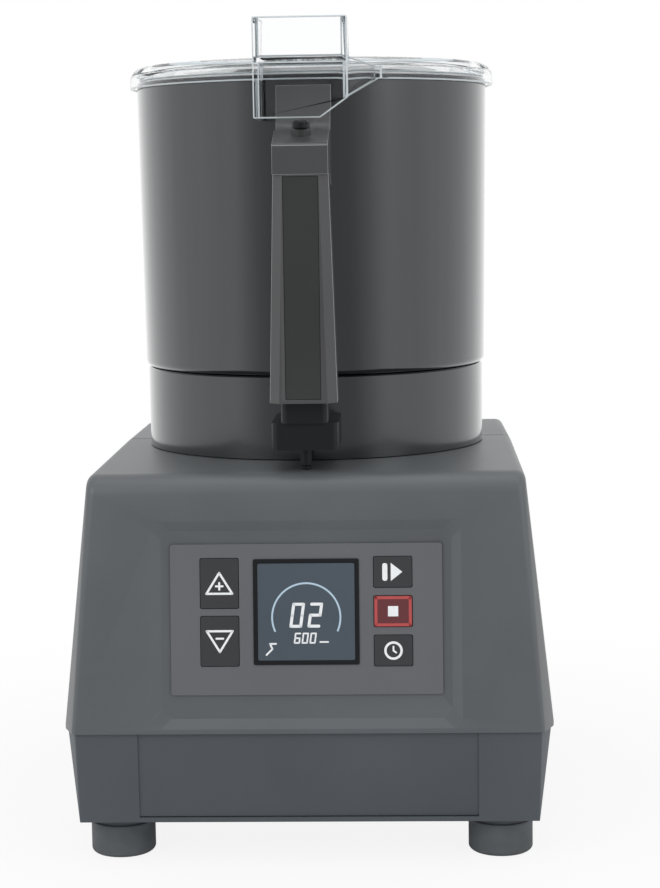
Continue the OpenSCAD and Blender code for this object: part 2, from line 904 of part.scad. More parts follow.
module motor_flange() color(steel_bright) {
  at_bowl() {
    difference() {
      union() {
        translate([0, 0, flange_z]) cylinder(r = flange_d / 2, h = flange_t);
        translate([0, 0, flange_z]) cylinder(r = spigot_d / 2, h = flange_t + wall + spigot_h);
        translate([0, 0, flange_z - bell_h]) tube(motor_r, motor_r - bell_wall, bell_h);
        translate([0, 0, deck_under_z - bearing_seat_h])
          cylinder(r = bearing_r + bearing_wall, h = bearing_seat_h);
      }
      translate([0, 0, deck_under_z - bearing_seat_h - over])
        cylinder(r = bearing_r + fit, h = bearing_seat_h + over);
      cylinder(r = shaft_r + shaft_clear, h = 2 * deck_z);
      translate([0, 0, deck_z + spigot_h - seal_ring_h]) cylinder(r = seal_r, h = seal_ring_h + over);
      for (a = [45:90:315]) rotate([0, 0, a]) translate([flange_screw_at, 0, flange_z - over])
        cylinder(r = screw_r + fit, h = flange_t + 2 * over);
    }
    ears(flange_z - bell_h);
  }
}

module flange_screws() color(steel_bright) {
  at_flange_screws() {
    translate([0, 0, deck_z]) cylinder(r = screw_head_r, h = flange_screw_head_h);
    translate([0, 0, flange_z]) cylinder(r = screw_r, h = flange_t + wall);
  }
}

module end_bell() color(steel_bright) {
  at_bowl() {
    difference() {
      union() {
        translate([0, 0, lower_bell_z]) cylinder(r = motor_r, h = lower_bell_t);
        translate([0, 0, lower_bell_z]) tube(motor_r, motor_r - bell_wall, lower_bell_h);
        translate([0, 0, lower_bell_z]) cylinder(r = bearing_r + bearing_wall, h = bearing_seat_h);
      }
      translate([0, 0, lower_bell_z - over]) cylinder(r = bearing_r + fit, h = bearing_seat_h + 2 * over);
    }
    ears(lower_ear_z);
  }
}

module bearing(z) {
  at_bowl() translate([0, 0, z]) tube(bearing_r, shaft_r + fit, bearing_h);
}

module upper_bearing() color(steel_bright) bearing(deck_under_z - bearing_seat_h);
module lower_bearing() color(steel_bright) bearing(lower_bell_z);

module stator_core() color(steel_dark) {
  at_bowl() translate([0, 0, stator_z]) tube(motor_r, rotor_r + air_gap, stator_h);
}

module stator_windings() color(copper) {
  mid_r = (winding_r + rotor_r) / 2 + air_gap;
  at_bowl() for (z = [stator_z - winding_h / 2, stator_z + stator_h + winding_h / 2])
    translate([0, 0, z]) rotate_extrude() translate([mid_r, 0])
      square([winding_r - mid_r, winding_h], center = true);
}

module tie_bolts() color(steel_bright) {
  bolt_l = stator_h + 2 * ear_h;
  at_bowl() for (a = [0:90:270]) rotate([0, 0, a]) translate([tie_at, 0, lower_ear_z]) {
    translate([0, 0, -screw_head_h]) cylinder(r = tie_r, h = bolt_l + 2 * screw_head_h);
    for (z = [-screw_head_h, bolt_l])
      translate([0, 0, z]) cylinder(r = tie_head_r, h = screw_head_h, $fn = 6);
  }
}

module shaft_seal() color(soft_black) {
  at_bowl() translate([0, 0, deck_z + spigot_h - seal_ring_h])
    tube(seal_r - fit, shaft_r + fit, seal_ring_h);
}

module motor_shaft() color(steel_bright) {
  tip_h = shaft_r / 4;
  at_bowl() {
    translate([0, 0, fan_z]) cylinder(r = shaft_r, h = shaft_tip_z - fan_z - tip_h);
    translate([0, 0, shaft_tip_z - tip_h]) cylinder(r1 = shaft_r, r2 = shaft_r - tip_h, h = tip_h);
  }
}

module rotor_core() color(steel_dark) {
  at_bowl() {
    translate([0, 0, stator_z]) tube(rotor_r, shaft_r + fit, stator_h);
    for (z = [stator_z - winding_h / 2, stator_z + stator_h])
      translate([0, 0, z]) tube(rotor_r - end_ring_set, rotor_r / 2, winding_h / 2);
  }
}

module cooling_fan() color(soft_black) {
  at_bowl() translate([0, 0, fan_z]) difference() {
    union() {
      cylinder(r = fan_r, h = fan_blade_t);
      cylinder(r = fan_hub_r, h = fan_h);
      for (i = [0:fan_blades - 1]) rotate([0, 0, i * 360 / fan_blades])
        translate([fan_hub_r - fan_blade_t, -fan_blade_t / 2, 0])
          cube([fan_r - fan_hub_r, fan_blade_t, fan_h]);
    }
    translate([0, 0, -over]) cylinder(r = shaft_r + fit, h = fan_h + 2 * over);
  }
}

module inverter_board() color(board_green) {
  translate([inverter_x - board_t, inverter_y - inverter_l / 2, pan_z + 1.5 * wall])
    cube([board_t, inverter_l, inverter_h]);
}

module heat_sink() color(steel_bright) {
  back = inverter_x - board_t - sink_t;
  sink_l = inverter_l - 2 * rail_l - 2 * gap;
  translate([back, inverter_y - sink_l / 2, sink_z]) cube([sink_t, sink_l, sink_h]);
  for (i = [0:sink_fins - 1])
    translate([back - sink_fin_l, inverter_y - sink_l / 2 + i * (sink_l - sink_fin_t) / (sink_fins - 1),
               sink_z])
      cube([sink_fin_l, sink_fin_t, sink_h]);
}

module capacitors() color(soft_black) {
  for (i = [-1:1])
    translate([inverter_x, inverter_y + i * cap_pitch, pan_z + cap_rise + cap_r])
      rotate([0, 90, 0]) cylinder(r = cap_r, h = cap_l);
}

module terminal_block() color([0.8, 0.8, 0.76]) {
  translate([gland_x, pocket_y - wall - gland_nut_h - lead_bend, pan_z + wall]) difference() {
    translate([-terminal_l / 2, -terminal_d / 2, 0]) cube([terminal_l, terminal_d, terminal_h]);
    for (i = [-1:1]) translate([i * terminal_l / 4, -terminal_d / 4, terminal_h / 2])
      cylinder(r = screw_r, h = terminal_h);
  }
}

module cable_gland() color(soft_black) {
  translate([gland_x, pocket_y, gland_z]) rotate([-90, 0, 0]) difference() {
    union() {
      cylinder(r = gland_body_r, h = gland_body_h / 2, $fn = 6);
      cylinder(r = gland_body_r * cos(30), h = gland_body_h - gland_edge);
      cylinder(r = gland_neck_r + gland_edge, h = gland_body_h);
      translate([0, 0, -wall - gland_nut_h]) cylinder(r = gland_neck_r, h = wall + gland_nut_h + over);
      translate([0, 0, -wall - gland_nut_h]) cylinder(r = gland_body_r, h = gland_nut_h, $fn = 6);
    }
    translate([0, 0, -wall - gland_nut_h - over])
      cylinder(r = gland_bore_r, h = wall + gland_nut_h + gland_body_h + 2 * over);
  }
}

// Lead inside the base: from the gland's neck, down to the terminal block
module inner_lead() color(soft_black) {
  bend_y = pocket_y - wall - gland_nut_h;
  foot_z = pan_z + wall + terminal_h;
  translate([gland_x, bend_y, gland_z - lead_bend]) rotate([90, 0, -90])
    rotate_extrude(angle = 90) translate([lead_bend, 0]) circle(lead_r, $fn = hull_fn);
  translate([gland_x, bend_y - lead_bend, foot_z])
    cylinder(r = lead_r, h = gland_z - lead_bend - foot_z, $fn = hull_fn);
}

module safety_switch() color(soft_black) {
  at_front(rod_at, switch_top_z - switch_h / 2) cube([switch_w, switch_d, switch_h], center = true);
  at_front(rod_at, switch_top_z - over) cylinder(r = plunger_r, h = over + plunger_proud / 2);
}

module switch_bracket() color(steel_bright) {
  at_front(rod_at, 0) {
    translate([switch_w / 2, -switch_d / 2, switch_top_z - switch_h])
      cube([bracket_t, switch_d, switch_drop + switch_h]);
    translate([switch_w / 2, -switch_d / 2, deck_under_z - bracket_t])
      cube([switch_d, switch_d, bracket_t]);
  }
}

module switch_plunger() color(soft_black) {
  foot_z = switch_top_z + plunger_proud / 2 + gap;
  at_front(rod_at, foot_z) {
    cylinder(r = plunger_r, h = deck_z + plunger_proud - foot_z);
    translate([0, 0, plunger_flange_t / 4]) cylinder(r = plunger_flange_r, h = plunger_flange_t);
  }
}

module seat_ring() color(soft_black) {
  at_bowl() translate([0, 0, deck_z]) tube(seat_r, spigot_d / 2 + fit, seat_h);
}

module bowl() color(steel_dark) {
  inner_round = bowl_round + bowl_t;
  at_bowl() rotate_extrude() polygon(concat(
    [[chimney_r - chimney_t, bowl_z]],
    arc([bowl_foot_r - bowl_round, bowl_z + bowl_round], bowl_round, -90, 0),
    [[bowl_r, rim_z], [bowl_r - bowl_t, rim_z]],
    arc([bowl_foot_r - bowl_t - inner_round, bowl_z + bowl_t + inner_round], inner_round, 0, -90),
    [[chimney_r, bowl_z + bowl_t], [chimney_r, chimney_top_z], [chimney_r - chimney_t, chimney_top_z]]
  ));
}

module bowl_base_ring() color(shell_grey) {
  web_z = deck_z + seat_h;
  at_bowl() difference() {
    rotate_extrude() polygon([
      [ring_r - ring_t, ring_z], [ring_r, ring_z], [ring_r, bowl_z - ring_edge],
      [ring_r - ring_edge, bowl_z], [ring_r - ring_t, bowl_z], [ring_r - ring_t, web_z + web_t],
      [collar_r, web_z + web_t], [collar_r, bowl_z], [collar_r - ring_t, bowl_z],
      [collar_r - ring_t, web_z], [ring_r - ring_t, web_z]
    ]);
    at_block_screws() cylinder(r = screw_r + gap, h = 4 * ring_t);
  }
}

// The screws that hold the handle's block, seen along the front radius from inside the ring
module at_block_screws() {
  for (x = [-1, 1])
    translate([x * block_screw_x, ring_t - ring_r, block_z + block_h / 2 + web_t / 2])
      rotate([90, 0, 0]) translate([0, 0, -ring_t]) children();
}

module grip_section(w, lean) {
  bevel = [for (s = [-1, 1]) [s * (w / 2 - grip_bevel_w), lean - grip_reach]];
  union() {
    linear_extrude(slice_h) polygon([
      [-w / 2, -grip_back - grip_back_r], [-w / 2, lean - grip_reach + grip_bevel_d], bevel[0], bevel[1],
      [w / 2, lean - grip_reach + grip_bevel_d], [w / 2, -grip_back - grip_back_r]
    ]);
    for (s = [-1, 1]) translate([s * (w / 2 - grip_back_r), -grip_back - grip_back_r, 0])
      cylinder(r = grip_back_r, h = slice_h, $fn = hull_fn);
  }
}

module rod_bore(r, z, h) {
  at_front(rod_at, z) cylinder(r = r, h = h);
}

module at_grip_front() {
  at_front(grip_reach, grip_z) rotate([-atan2(grip_lean, grip_h), 0, 0]) children();
}

module handle_grip() color(handle_grey) {
  difference() {
    union() {
      at_bowl() hull() {
        translate([0, 0, grip_z]) grip_section(grip_foot_w, 0);
        translate([0, 0, cap_z - slice_h]) grip_section(grip_top_w, grip_lean);
      }
      at_front((stem_front + stem_back) / 2, stem_z) linear_extrude(stem_h + over)
        plate(stem_w, stem_front - stem_back, stem_round);
    }
    rod_bore(rod_r + gap, stem_z - over, grip_h + stem_h + 2 * over);
    rod_bore(chamber_r, chamber_z, chamber_h);
    at_grip_front() translate([-insert_w / 2 - fit, -over, insert_foot - fit])
      cube([insert_w + 2 * fit, over + insert_t + insert_sink,
            grip_h - insert_foot - insert_head + 2 * fit]);
    at_front(tenon_front, cap_z - tenon_h - fit)
      translate([-tenon_w / 2 - fit, -fit, 0])
        cube([tenon_w + 2 * fit, tenon_d + 2 * fit, tenon_h + over]);
  }
}

module handle_insert() color(soft_black) {
  at_grip_front() translate([-insert_w / 2, insert_sink, insert_foot])
    cube([insert_w, insert_t, grip_h - insert_foot - insert_head]);
}

module handle_bracket() color(handle_grey) {
  front = grip_reach - grip_lean + fit;
  neck_out = bowl_r + neck_t;
  difference() {
    union() {
      front_profile(grip_top_w, concat(
        [[bowl_foot_r, neck_foot_z], [neck_out + 2 * neck_t, neck_foot_z],
         [neck_out + 4 * neck_t, cap_z], [front, cap_z], [front, cap_top_z - cap_edge],
         [front - cap_edge, cap_top_z], [rod_at - guide_r - guide_margin, guide_top_z]],
        arc([neck_out + 4 * neck_t, guide_top_z + 3 * neck_t], 3 * neck_t, -90, -150),
        [[neck_out, neck_top_z], [bowl_foot_r, neck_top_z]]
      ));
      at_front(tenon_front, cap_z - tenon_h)
        translate([-tenon_w / 2, 0, 0]) cube([tenon_w, tenon_d, tenon_h + over]);
    }
    at_bowl() translate([0, 0, bowl_z])
      cylinder(r1 = bowl_foot_r + fit, r2 = bowl_r + fit, h = bowl_h);
    rod_bore(rod_r + gap, neck_foot_z, guide_top_z - neck_foot_z + over);
    rod_bore(guide_r + fit, guide_top_z - guide_h, guide_h + neck_t);
  }
}

module handle_block() color(soft_black) {
  difference() {
    at_front((block_front + bowl_foot_r - 2 * bowl_round) / 2, block_z) linear_extrude(block_h)
      plate(grip_foot_w, block_front - bowl_foot_r + 2 * bowl_round, stem_round);
    at_bowl() cylinder(r = ring_r + fit, h = bowl_z);
    rod_bore(rod_r + gap, block_z - over, block_h + 2 * over);
    at_bowl() at_block_screws() cylinder(r = screw_r + fit, h = 5 * ring_t);
  }
}

module block_screws() color(steel_bright) {
  at_bowl() at_block_screws() {
    translate([0, 0, ring_t - screw_head_h - ring_t / 4]) cylinder(r = screw_head_r, h = screw_head_h);
    translate([0, 0, ring_t - screw_head_h]) cylinder(r = screw_r, h = 4 * ring_t);
  }
}

module rod_guide() color(soft_black) {
  at_front(rod_at, guide_top_z - guide_h) tube(guide_r, rod_r + fit, guide_h);
}

module safety_rod() color(soft_black) {
  foot_z = deck_z + plunger_proud + gap;
  top_z = tab_z - tab_gap;
  at_front(rod_at, 0) {
    translate([0, 0, foot_z]) cylinder(r = rod_r, h = top_z - foot_z - rod_cap_h / 2);
    translate([0, 0, chamber_z + spring_h]) cylinder(r = chamber_r - gap, h = collar_h);
    translate([0, 0, top_z - rod_cap_h]) cylinder(r = rod_cap_r, h = rod_cap_h - rod_cap_edge);
    translate([0, 0, top_z - rod_cap_edge])
      cylinder(r1 = rod_cap_r, r2 = rod_cap_r - rod_cap_edge, h = rod_cap_edge);
  }
}

// A coil of round wire standing on z = 0, with flat cut ends
module coil(r, wire_r, h, turns) {
  sides = 6;
  rings_per_turn = 10;
  last = turns * rings_per_turn;
  rise = h - 2 * wire_r;
  points = [for (i = [0:last], k = [0:sides - 1])
    let (a = 360 * i / rings_per_turn, b = 360 * k / sides, q = r + wire_r * cos(b))
    [q * cos(a), q * sin(a), wire_r + rise * i / last + wire_r * sin(b)]];
  faces = concat(
    [[for (k = [0:sides - 1]) k]],
    [[for (k = [sides - 1:-1:0]) last * sides + k]],
    [for (i = [0:last - 1], k = [0:sides - 1])
      [i * sides + k, (i + 1) * sides + k, i * sides + (k + 1) % sides]],
    [for (i = [0:last - 1], k = [0:sides - 1])
      [(i + 1) * sides + k, (i + 1) * sides + (k + 1) % sides, i * sides + (k + 1) % sides]]
  );
  polyhedron(points, faces);
}

module rod_spring() color(steel_bright) {
  at_front(rod_at, chamber_z) coil(spring_r, spring_wire_r, spring_h, spring_turns);
}

module thrust_ring() color([0.85, 0.85, 0.82]) {
  at_bowl() translate([0, 0, bowl_z + bowl_t]) tube(hub_r, chimney_r + gap, thrust_h);
}

module cutter_hub() color(steel_bright) {
  at_bowl() difference() {
    union() {
      translate([0, 0, hub_z]) cylinder(r = hub_flange_r, h = hub_flange_t);
      translate([0, 0, hub_z]) cylinder(r = hub_r, h = hub_top_z - hub_z);
    }
    translate([0, 0, hub_z - over])
      cylinder(r = chimney_r + gap, h = hub_top_z - hub_cap_t - hub_z + over);
    translate([0, 0, hub_z]) cylinder(r = shaft_r + fit, h = shaft_tip_z + gap - hub_z);
  }
}

// Half the width of a blade, and the turn of its middle line, at a share t of its length
function blade_half(t) = (blade_root_w + (blade_tip_w - blade_root_w) * sqrt(t)) / 2;
function blade_turn(t) = -360 * blade_turn_share * t * t;
function blade_point(t, side) =
  let (reach = hub_r + (blade_sweep_d / 2 - hub_r) * t, half = side * blade_half(t))
  [reach * cos(blade_turn(t)) - half * sin(blade_turn(t)),
   reach * sin(blade_turn(t)) + half * cos(blade_turn(t))];

module blade(z, turn) {
  steps = 3 * arc_steps;
  at_bowl() translate([0, 0, z]) rotate([0, 0, turn]) difference() {
    union() {
      cylinder(r = sleeve_r, h = blade_t);
      intersection() {
        cylinder(r = blade_sweep_d / 2, h = blade_t);
        for (a = [0, 180]) rotate([0, 0, a]) linear_extrude(blade_t) polygon(concat(
          [for (i = [0:steps]) blade_point(i / steps, -1)],
          [for (i = [steps:-1:0]) blade_point(i / steps, 1)]
        ));
      }
    }
    translate([0, 0, -over]) cylinder(r = hub_r + fit, h = blade_t + 2 * over);
  }
}

module lower_blade() color(steel_bright) blade(lower_blade_z, 0);
module upper_blade() color(steel_bright) blade(upper_blade_z, 90);

module blade_spacer() color(steel_bright) {
  at_bowl() translate([0, 0, lower_blade_z + blade_t]) tube(sleeve_r - spacer_set, hub_r + fit, spacer_h);
}

module cutter_knob() color(soft_black) {
  at_bowl() difference() {
    union() {
      translate([0, 0, sleeve_z]) cylinder(r = sleeve_r, h = hub_top_z - sleeve_z);
      translate([0, 0, hub_top_z - knob_h / 2]) cylinder(r = knob_r, h = knob_h);
      translate([0, 0, hub_top_z + knob_h / 2])
        cylinder(r1 = knob_r, r2 = knob_r - knob_edge, h = knob_edge);
    }
    translate([0, 0, sleeve_z - over]) cylinder(r = hub_r + fit, h = hub_top_z - sleeve_z + over);
    for (i = [0:knob_lobes - 1]) rotate([0, 0, i * 360 / knob_lobes])
      translate([knob_r + knob_flute_r / 2, 0, hub_top_z - knob_h])
        cylinder(r = knob_flute_r, h = 3 * knob_h);
  }
}

module lid_shell() {
  inner_round = lid_round - lid_t;
  land_z = rim_z + seal_h;
  shoulder_r = lid_r - lid_round;
  land_out = bowl_r - bowl_t;
  land_in = land_out - seal_w;
  at_bowl() rotate_extrude() polygon(concat(
    [[feed_r, lid_crown_z - lid_t], [feed_r, lid_crown_z + feed_collar_h],
     [feed_r + feed_collar_t, lid_crown_z + feed_collar_h], [feed_r + feed_collar_t, lid_crown_z]],
    arc([shoulder_r, lid_shoulder_z - lid_round], lid_round, 90, 0),
    [[lid_r, skirt_z], [lid_r - lid_t, skirt_z]],
    arc([shoulder_r, lid_shoulder_z - lid_round], inner_round, 0, 45),
    [[land_out, land_z], [land_in, land_z], [land_in - land_slope, lid_shoulder_z - lid_t]]
  ));
}

// The front wall of the lock tab, its lower edge flat and then rising to the skirt
module tab_wall() {
  at_front(porch_reach, 0) translate([0, lid_t, 0]) rotate([90, 0, 0]) linear_extrude(lid_t) polygon([
    [-porch_half, tab_z], [tab_flat_right, tab_z], [porch_half, edge_z], [porch_half, porch_z],
    [-porch_half, porch_z]
  ]);
}

// The wall that leads the rising edge back from the porch's corner to the skirt
module tab_flank() {
  back_y = sqrt(pow(lid_r - lid_t / 2, 2) - pow(wing_right, 2));
  run = [wing_right - porch_half, porch_reach - back_y];
  at_front(porch_reach, 0) translate([porch_half, 0, 0]) rotate([0, 0, atan2(run.y, run.x)])
    rotate([90, 0, 0]) translate([0, 0, -lid_t]) linear_extrude(lid_t)
      polygon([[0, edge_z], [norm(run), wing_z], [norm(run), porch_z - lid_round / 2], [0, porch_z]]);
}

module porch() {
  run = porch_reach - porch_back;
  wall_z = porch_z + (porch_wall_h - lid_t) / 2;
  difference() {
    union() {
      at_front((porch_reach + porch_back) / 2, 0) {
        translate([0, 0, porch_z - lid_t / 2]) cube([porch_w, run, lid_t], center = true);
        for (side = [-1, 1]) translate([side * (porch_half - lid_t / 2), 0, wall_z])
          cube([lid_t, run, porch_wall_h + lid_t], center = true);
      }
      at_front(porch_reach - lid_t / 2, wall_z) cube([porch_w, lid_t, porch_wall_h + lid_t], center = true);
      at_front((porch_reach + lid_r - 1.5 * lid_t) / 2, (tab_z + porch_z) / 2)
        translate([(lid_t - porch_w) / 2, 0, 0])
          cube([lid_t, porch_reach - lid_r + 1.5 * lid_t, porch_z - tab_z], center = true);
      tab_wall();
      tab_flank();
    }
    at_bowl() cylinder(r = lid_r - lid_t, h = lid_shoulder_z - lid_t - land_slope);
  }
}

module lid() color(clear_tint) {
  lid_shell();
  porch();
}

module lid_seal() color([0.75, 0.75, 0.74]) {
  outer = bowl_r - bowl_t;
  at_bowl() rotate_extrude() polygon([
    [outer - seal_w, rim_z - seal_leg_h], [outer - gap - seal_taper, rim_z - seal_leg_h],
    [outer - gap, rim_z], [outer + bowl_t / 2, rim_z], [outer, rim_z + seal_h],
    [outer - seal_w, rim_z + seal_h]
  ]);
}

module feed_stopper() color([0.80, 0.86, 0.88, 0.55]) {
  foot_z = lid_crown_z - lid_t;
  top_z = lid_crown_z + feed_collar_h;
  at_bowl() difference() {
    union() {
      translate([0, 0, foot_z]) cylinder(r = feed_r - gap, h = lid_t + feed_collar_h);
      translate([0, 0, top_z]) cylinder(r = feed_r + stopper_flange, h = stopper_t);
    }
    difference() {
      translate([0, 0, foot_z + stopper_floor_t]) cylinder(r = feed_r - stopper_rim, h = feed_d);
      translate([0, 0, top_z]) cube([2 * feed_d, stopper_bar_w, feed_d], center = true);
    }
  }
}

front_housing();
rear_housing();
lower_pan();
bottom_plate();
feet();
foot_screws();
base_screws();
control_overlay();
display_frame();
display_window();
display_module();
key_up();
key_down();
key_start();
key_stop();
key_timer();
key_mat();
control_board();
board_standoffs();
motor_flange();
flange_screws();
end_bell();
upper_bearing();
lower_bearing();
stator_core();
stator_windings();
tie_bolts();
shaft_seal();
inverter_board();
heat_sink();
capacitors();
terminal_block();
cable_gland();
inner_lead();
safety_switch();
switch_bracket();
switch_plunger();
motor_shaft();
rotor_core();
cooling_fan();
seat_ring();
bowl();
bowl_base_ring();
handle_grip();
handle_insert();
handle_bracket();
handle_block();
block_screws();
rod_guide();
safety_rod();
rod_spring();
thrust_ring();
cutter_hub();
lower_blade();
upper_blade();
blade_spacer();
cutter_knob();
lid();
lid_seal();
feed_stopper();
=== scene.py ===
import json
import math

import bmesh
import bpy
from mathutils import Matrix, Vector


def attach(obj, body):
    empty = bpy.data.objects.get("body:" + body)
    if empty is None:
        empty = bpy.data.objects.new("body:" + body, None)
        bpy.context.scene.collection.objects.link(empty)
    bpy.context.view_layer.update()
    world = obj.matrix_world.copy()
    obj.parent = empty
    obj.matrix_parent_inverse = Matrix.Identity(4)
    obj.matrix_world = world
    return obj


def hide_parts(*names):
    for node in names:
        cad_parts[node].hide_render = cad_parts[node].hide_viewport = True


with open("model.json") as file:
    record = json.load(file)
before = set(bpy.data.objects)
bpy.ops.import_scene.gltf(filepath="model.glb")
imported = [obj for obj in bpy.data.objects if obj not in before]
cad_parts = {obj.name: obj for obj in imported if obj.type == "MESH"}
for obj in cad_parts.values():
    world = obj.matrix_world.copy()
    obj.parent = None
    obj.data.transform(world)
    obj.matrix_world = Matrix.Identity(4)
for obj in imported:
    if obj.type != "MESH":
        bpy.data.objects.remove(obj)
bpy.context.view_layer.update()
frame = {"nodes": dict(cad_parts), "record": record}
nodes = frame["nodes"]

MM = 0.001
# How far the bowl's axis lies behind the middle of the base
BOWL_AXIS_Y = 10.5 * MM

# Camera: distances in metres, angles in degrees, lens and sensor in millimetres

CAMERA_DISTANCE = 1.20
CAMERA_HEIGHT = 0.3424
CAMERA_TURN = 2.5
CAMERA_AIM = 0.36
CAMERA_PITCH = 6.9
CAMERA_ROLL = 0.85
LENS = 84.6
SENSOR_WIDTH = 36
NEAREST = 0.05
FURTHEST = 60


def make_camera():
    camera_data = bpy.data.cameras.new("camera")
    camera_data.lens = LENS
    camera_data.sensor_width = SENSOR_WIDTH
    camera_data.clip_start = NEAREST
    camera_data.clip_end = FURTHEST
    camera = bpy.data.objects.new("camera", camera_data)
    bpy.context.scene.collection.objects.link(camera)
    turn = math.radians(CAMERA_TURN)
    camera.location = (
        CAMERA_DISTANCE * math.sin(turn),
        BOWL_AXIS_Y - CAMERA_DISTANCE * math.cos(turn),
        CAMERA_HEIGHT,
    )
    look = (
        Matrix.Rotation(math.radians(CAMERA_TURN - CAMERA_AIM), 4, "Z")
        @ Matrix.Rotation(math.radians(90 - CAMERA_PITCH), 4, "X")
        @ Matrix.Rotation(math.radians(-CAMERA_ROLL), 4, "Z")
    )
    camera.rotation_euler = look.to_euler()
    bpy.context.scene.camera = camera


# Shader nodes

# Where the darker and the lighter tone of a cloudy finish lie on its noise
TONE_SPAN = (0.3, 0.7)


def new_material(name):
    """A material with its tree, its shader and the piece's own coordinates."""
    material = bpy.data.materials.new(name)
    material.use_nodes = True
    tree = material.node_tree
    shader = tree.nodes["Principled BSDF"]
    place = tree.nodes.new("ShaderNodeTexCoord")
    return material, tree, shader, place.outputs["Object"]


def set_shader(shader, **values):
    """Sets sockets of the shader, named with _ for the spaces in their names."""
    for name, value in values.items():
        shader.inputs[name.replace("_", " ")].default_value = value


def add_noise(tree, place, scale, detail, stretch=None):
    """A noise on the piece's own coordinates, per metre, with an optional stretch."""
    noise = tree.nodes.new("ShaderNodeTexNoise")
    noise.inputs["Scale"].default_value = scale
    noise.inputs["Detail"].default_value = detail
    if stretch:
        mapping = tree.nodes.new("ShaderNodeMapping")
        mapping.inputs["Scale"].default_value = stretch
        tree.links.new(place, mapping.inputs["Vector"])
        place = mapping.outputs["Vector"]
    tree.links.new(place, noise.inputs["Vector"])
    return noise.outputs["Fac"]


def add_layers(tree, place, scale, distortion):
    """Even bands along the height, per metre, as of wires or sheets on each other."""
    wave = tree.nodes.new("ShaderNodeTexWave")
    wave.bands_direction = "Z"
    wave.inputs["Scale"].default_value = scale
    wave.inputs["Distortion"].default_value = distortion
    tree.links.new(place, wave.inputs["Vector"])
    return wave.outputs["Fac"]


def add_math(tree, operation, first, second):
    node = tree.nodes.new("ShaderNodeMath")
    node.operation = operation
    tree.links.new(first, node.inputs[0])
    tree.links.new(second, node.inputs[1])
    return node.outputs["Value"]


def add_blend(tree, share, low, high):
    """A value that goes from low to high with share. Low and high are numbers or sockets."""
    blend = tree.nodes.new("ShaderNodeMapRange")
    tree.links.new(share, blend.inputs["Value"])
    for value, name in ((low, "To Min"), (high, "To Max")):
        if isinstance(value, float):
            blend.inputs[name].default_value = value
        else:
            tree.links.new(value, blend.inputs[name])
    return blend.outputs["Result"]


def add_fade(tree, value, span, low, high):
    """A value that goes smoothly from low to high while another goes through span."""
    fade = tree.nodes.new("ShaderNodeMapRange")
    fade.interpolation_type = "SMOOTHSTEP"
    numbers = (("From Min", span[0]), ("From Max", span[1]), ("To Min", low), ("To Max", high))
    for name, number in numbers:
        fade.inputs[name].default_value = number
    tree.links.new(value, fade.inputs["Value"])
    return fade.outputs["Result"]


def tone(colour, factor):
    return tuple(min(1.0, c * factor) for c in colour)


def spread_tones(tree, shader, value, colour, dark, light, span=TONE_SPAN):
    """Colours the piece from a darker to a lighter tone of one colour as value rises."""
    ramp = tree.nodes.new("ShaderNodeValToRGB")
    tree.links.new(value, ramp.inputs["Fac"])
    for number, factor in enumerate((dark, light)):
        stop = ramp.color_ramp.elements[number]
        stop.position = span[number]
        stop.color = (*tone(colour, factor), 1)
    tree.links.new(ramp.outputs["Color"], shader.inputs["Base Color"])


def add_bump(tree, shader, height, distance):
    bump = tree.nodes.new("ShaderNodeBump")
    bump.inputs["Distance"].default_value = distance
    tree.links.new(height, bump.inputs["Height"])
    tree.links.new(bump.outputs["Normal"], shader.inputs["Normal"])


def map_roughness(tree, shader, value, low, high):
    tree.links.new(add_blend(tree, value, low, high), shader.inputs["Roughness"])


# Materials: depths in millimetres, scales per metre


def moulded_plastic(name, colour, rough, grain, depth, vary=0.05, gloss=0.5):
    """Moulded plastic: a fine grain, a cloudy change of tone and uneven gloss."""
    material, tree, shader, place = new_material(name)
    cloud = add_noise(tree, place, scale=18, detail=4)
    spread_tones(tree, shader, cloud, colour, dark=1 - vary, light=1 + vary)
    map_roughness(tree, shader, cloud, low=rough - 0.05, high=rough + 0.05)
    add_bump(tree, shader, add_noise(tree, place, grain, detail=2), depth * MM)
    set_shader(shader, Specular_IOR_Level=gloss)
    return material


def drawn_metal(name, colour, rough, stretch, vary, scale, depth=0.004, coat=0.0):
    """Metal with a grain drawn out along one way and streaks of slightly changed tone."""
    material, tree, shader, place = new_material(name)
    streaks = add_noise(tree, place, scale, detail=4, stretch=stretch)
    spread_tones(tree, shader, streaks, colour, dark=1 - vary, light=1 + vary)
    map_roughness(tree, shader, streaks, low=rough - 0.04, high=rough + 0.06)
    add_bump(tree, shader, streaks, depth * MM)
    set_shader(shader, Metallic=1.0, Coat_Weight=coat, Coat_Roughness=0.12)
    return material


def cast_metal(name, colour, rough=0.45, grain=500, depth=0.05):
    """Metal with an even grit, for castings and for small plated pieces."""
    material, tree, shader, place = new_material(name)
    grit = add_noise(tree, place, grain, detail=5)
    spread_tones(tree, shader, grit, colour, dark=0.85, light=1.1, span=(0.35, 0.65))
    map_roughness(tree, shader, grit, low=rough - 0.08, high=rough + 0.1)
    add_bump(tree, shader, grit, depth * MM)
    set_shader(shader, Metallic=1.0)
    return material


def soft_rubber(name, colour, rough=0.75):
    """Rubber: dull, cloudy and finely pitted."""
    material, tree, shader, place = new_material(name)
    cloud = add_noise(tree, place, scale=60, detail=5)
    spread_tones(tree, shader, cloud, colour, dark=0.85, light=1.2)
    map_roughness(tree, shader, cloud, low=rough - 0.08, high=rough + 0.08)
    add_bump(tree, shader, add_noise(tree, place, scale=2600, detail=3), 0.03 * MM)
    set_shader(shader, Specular_IOR_Level=0.35)
    return material


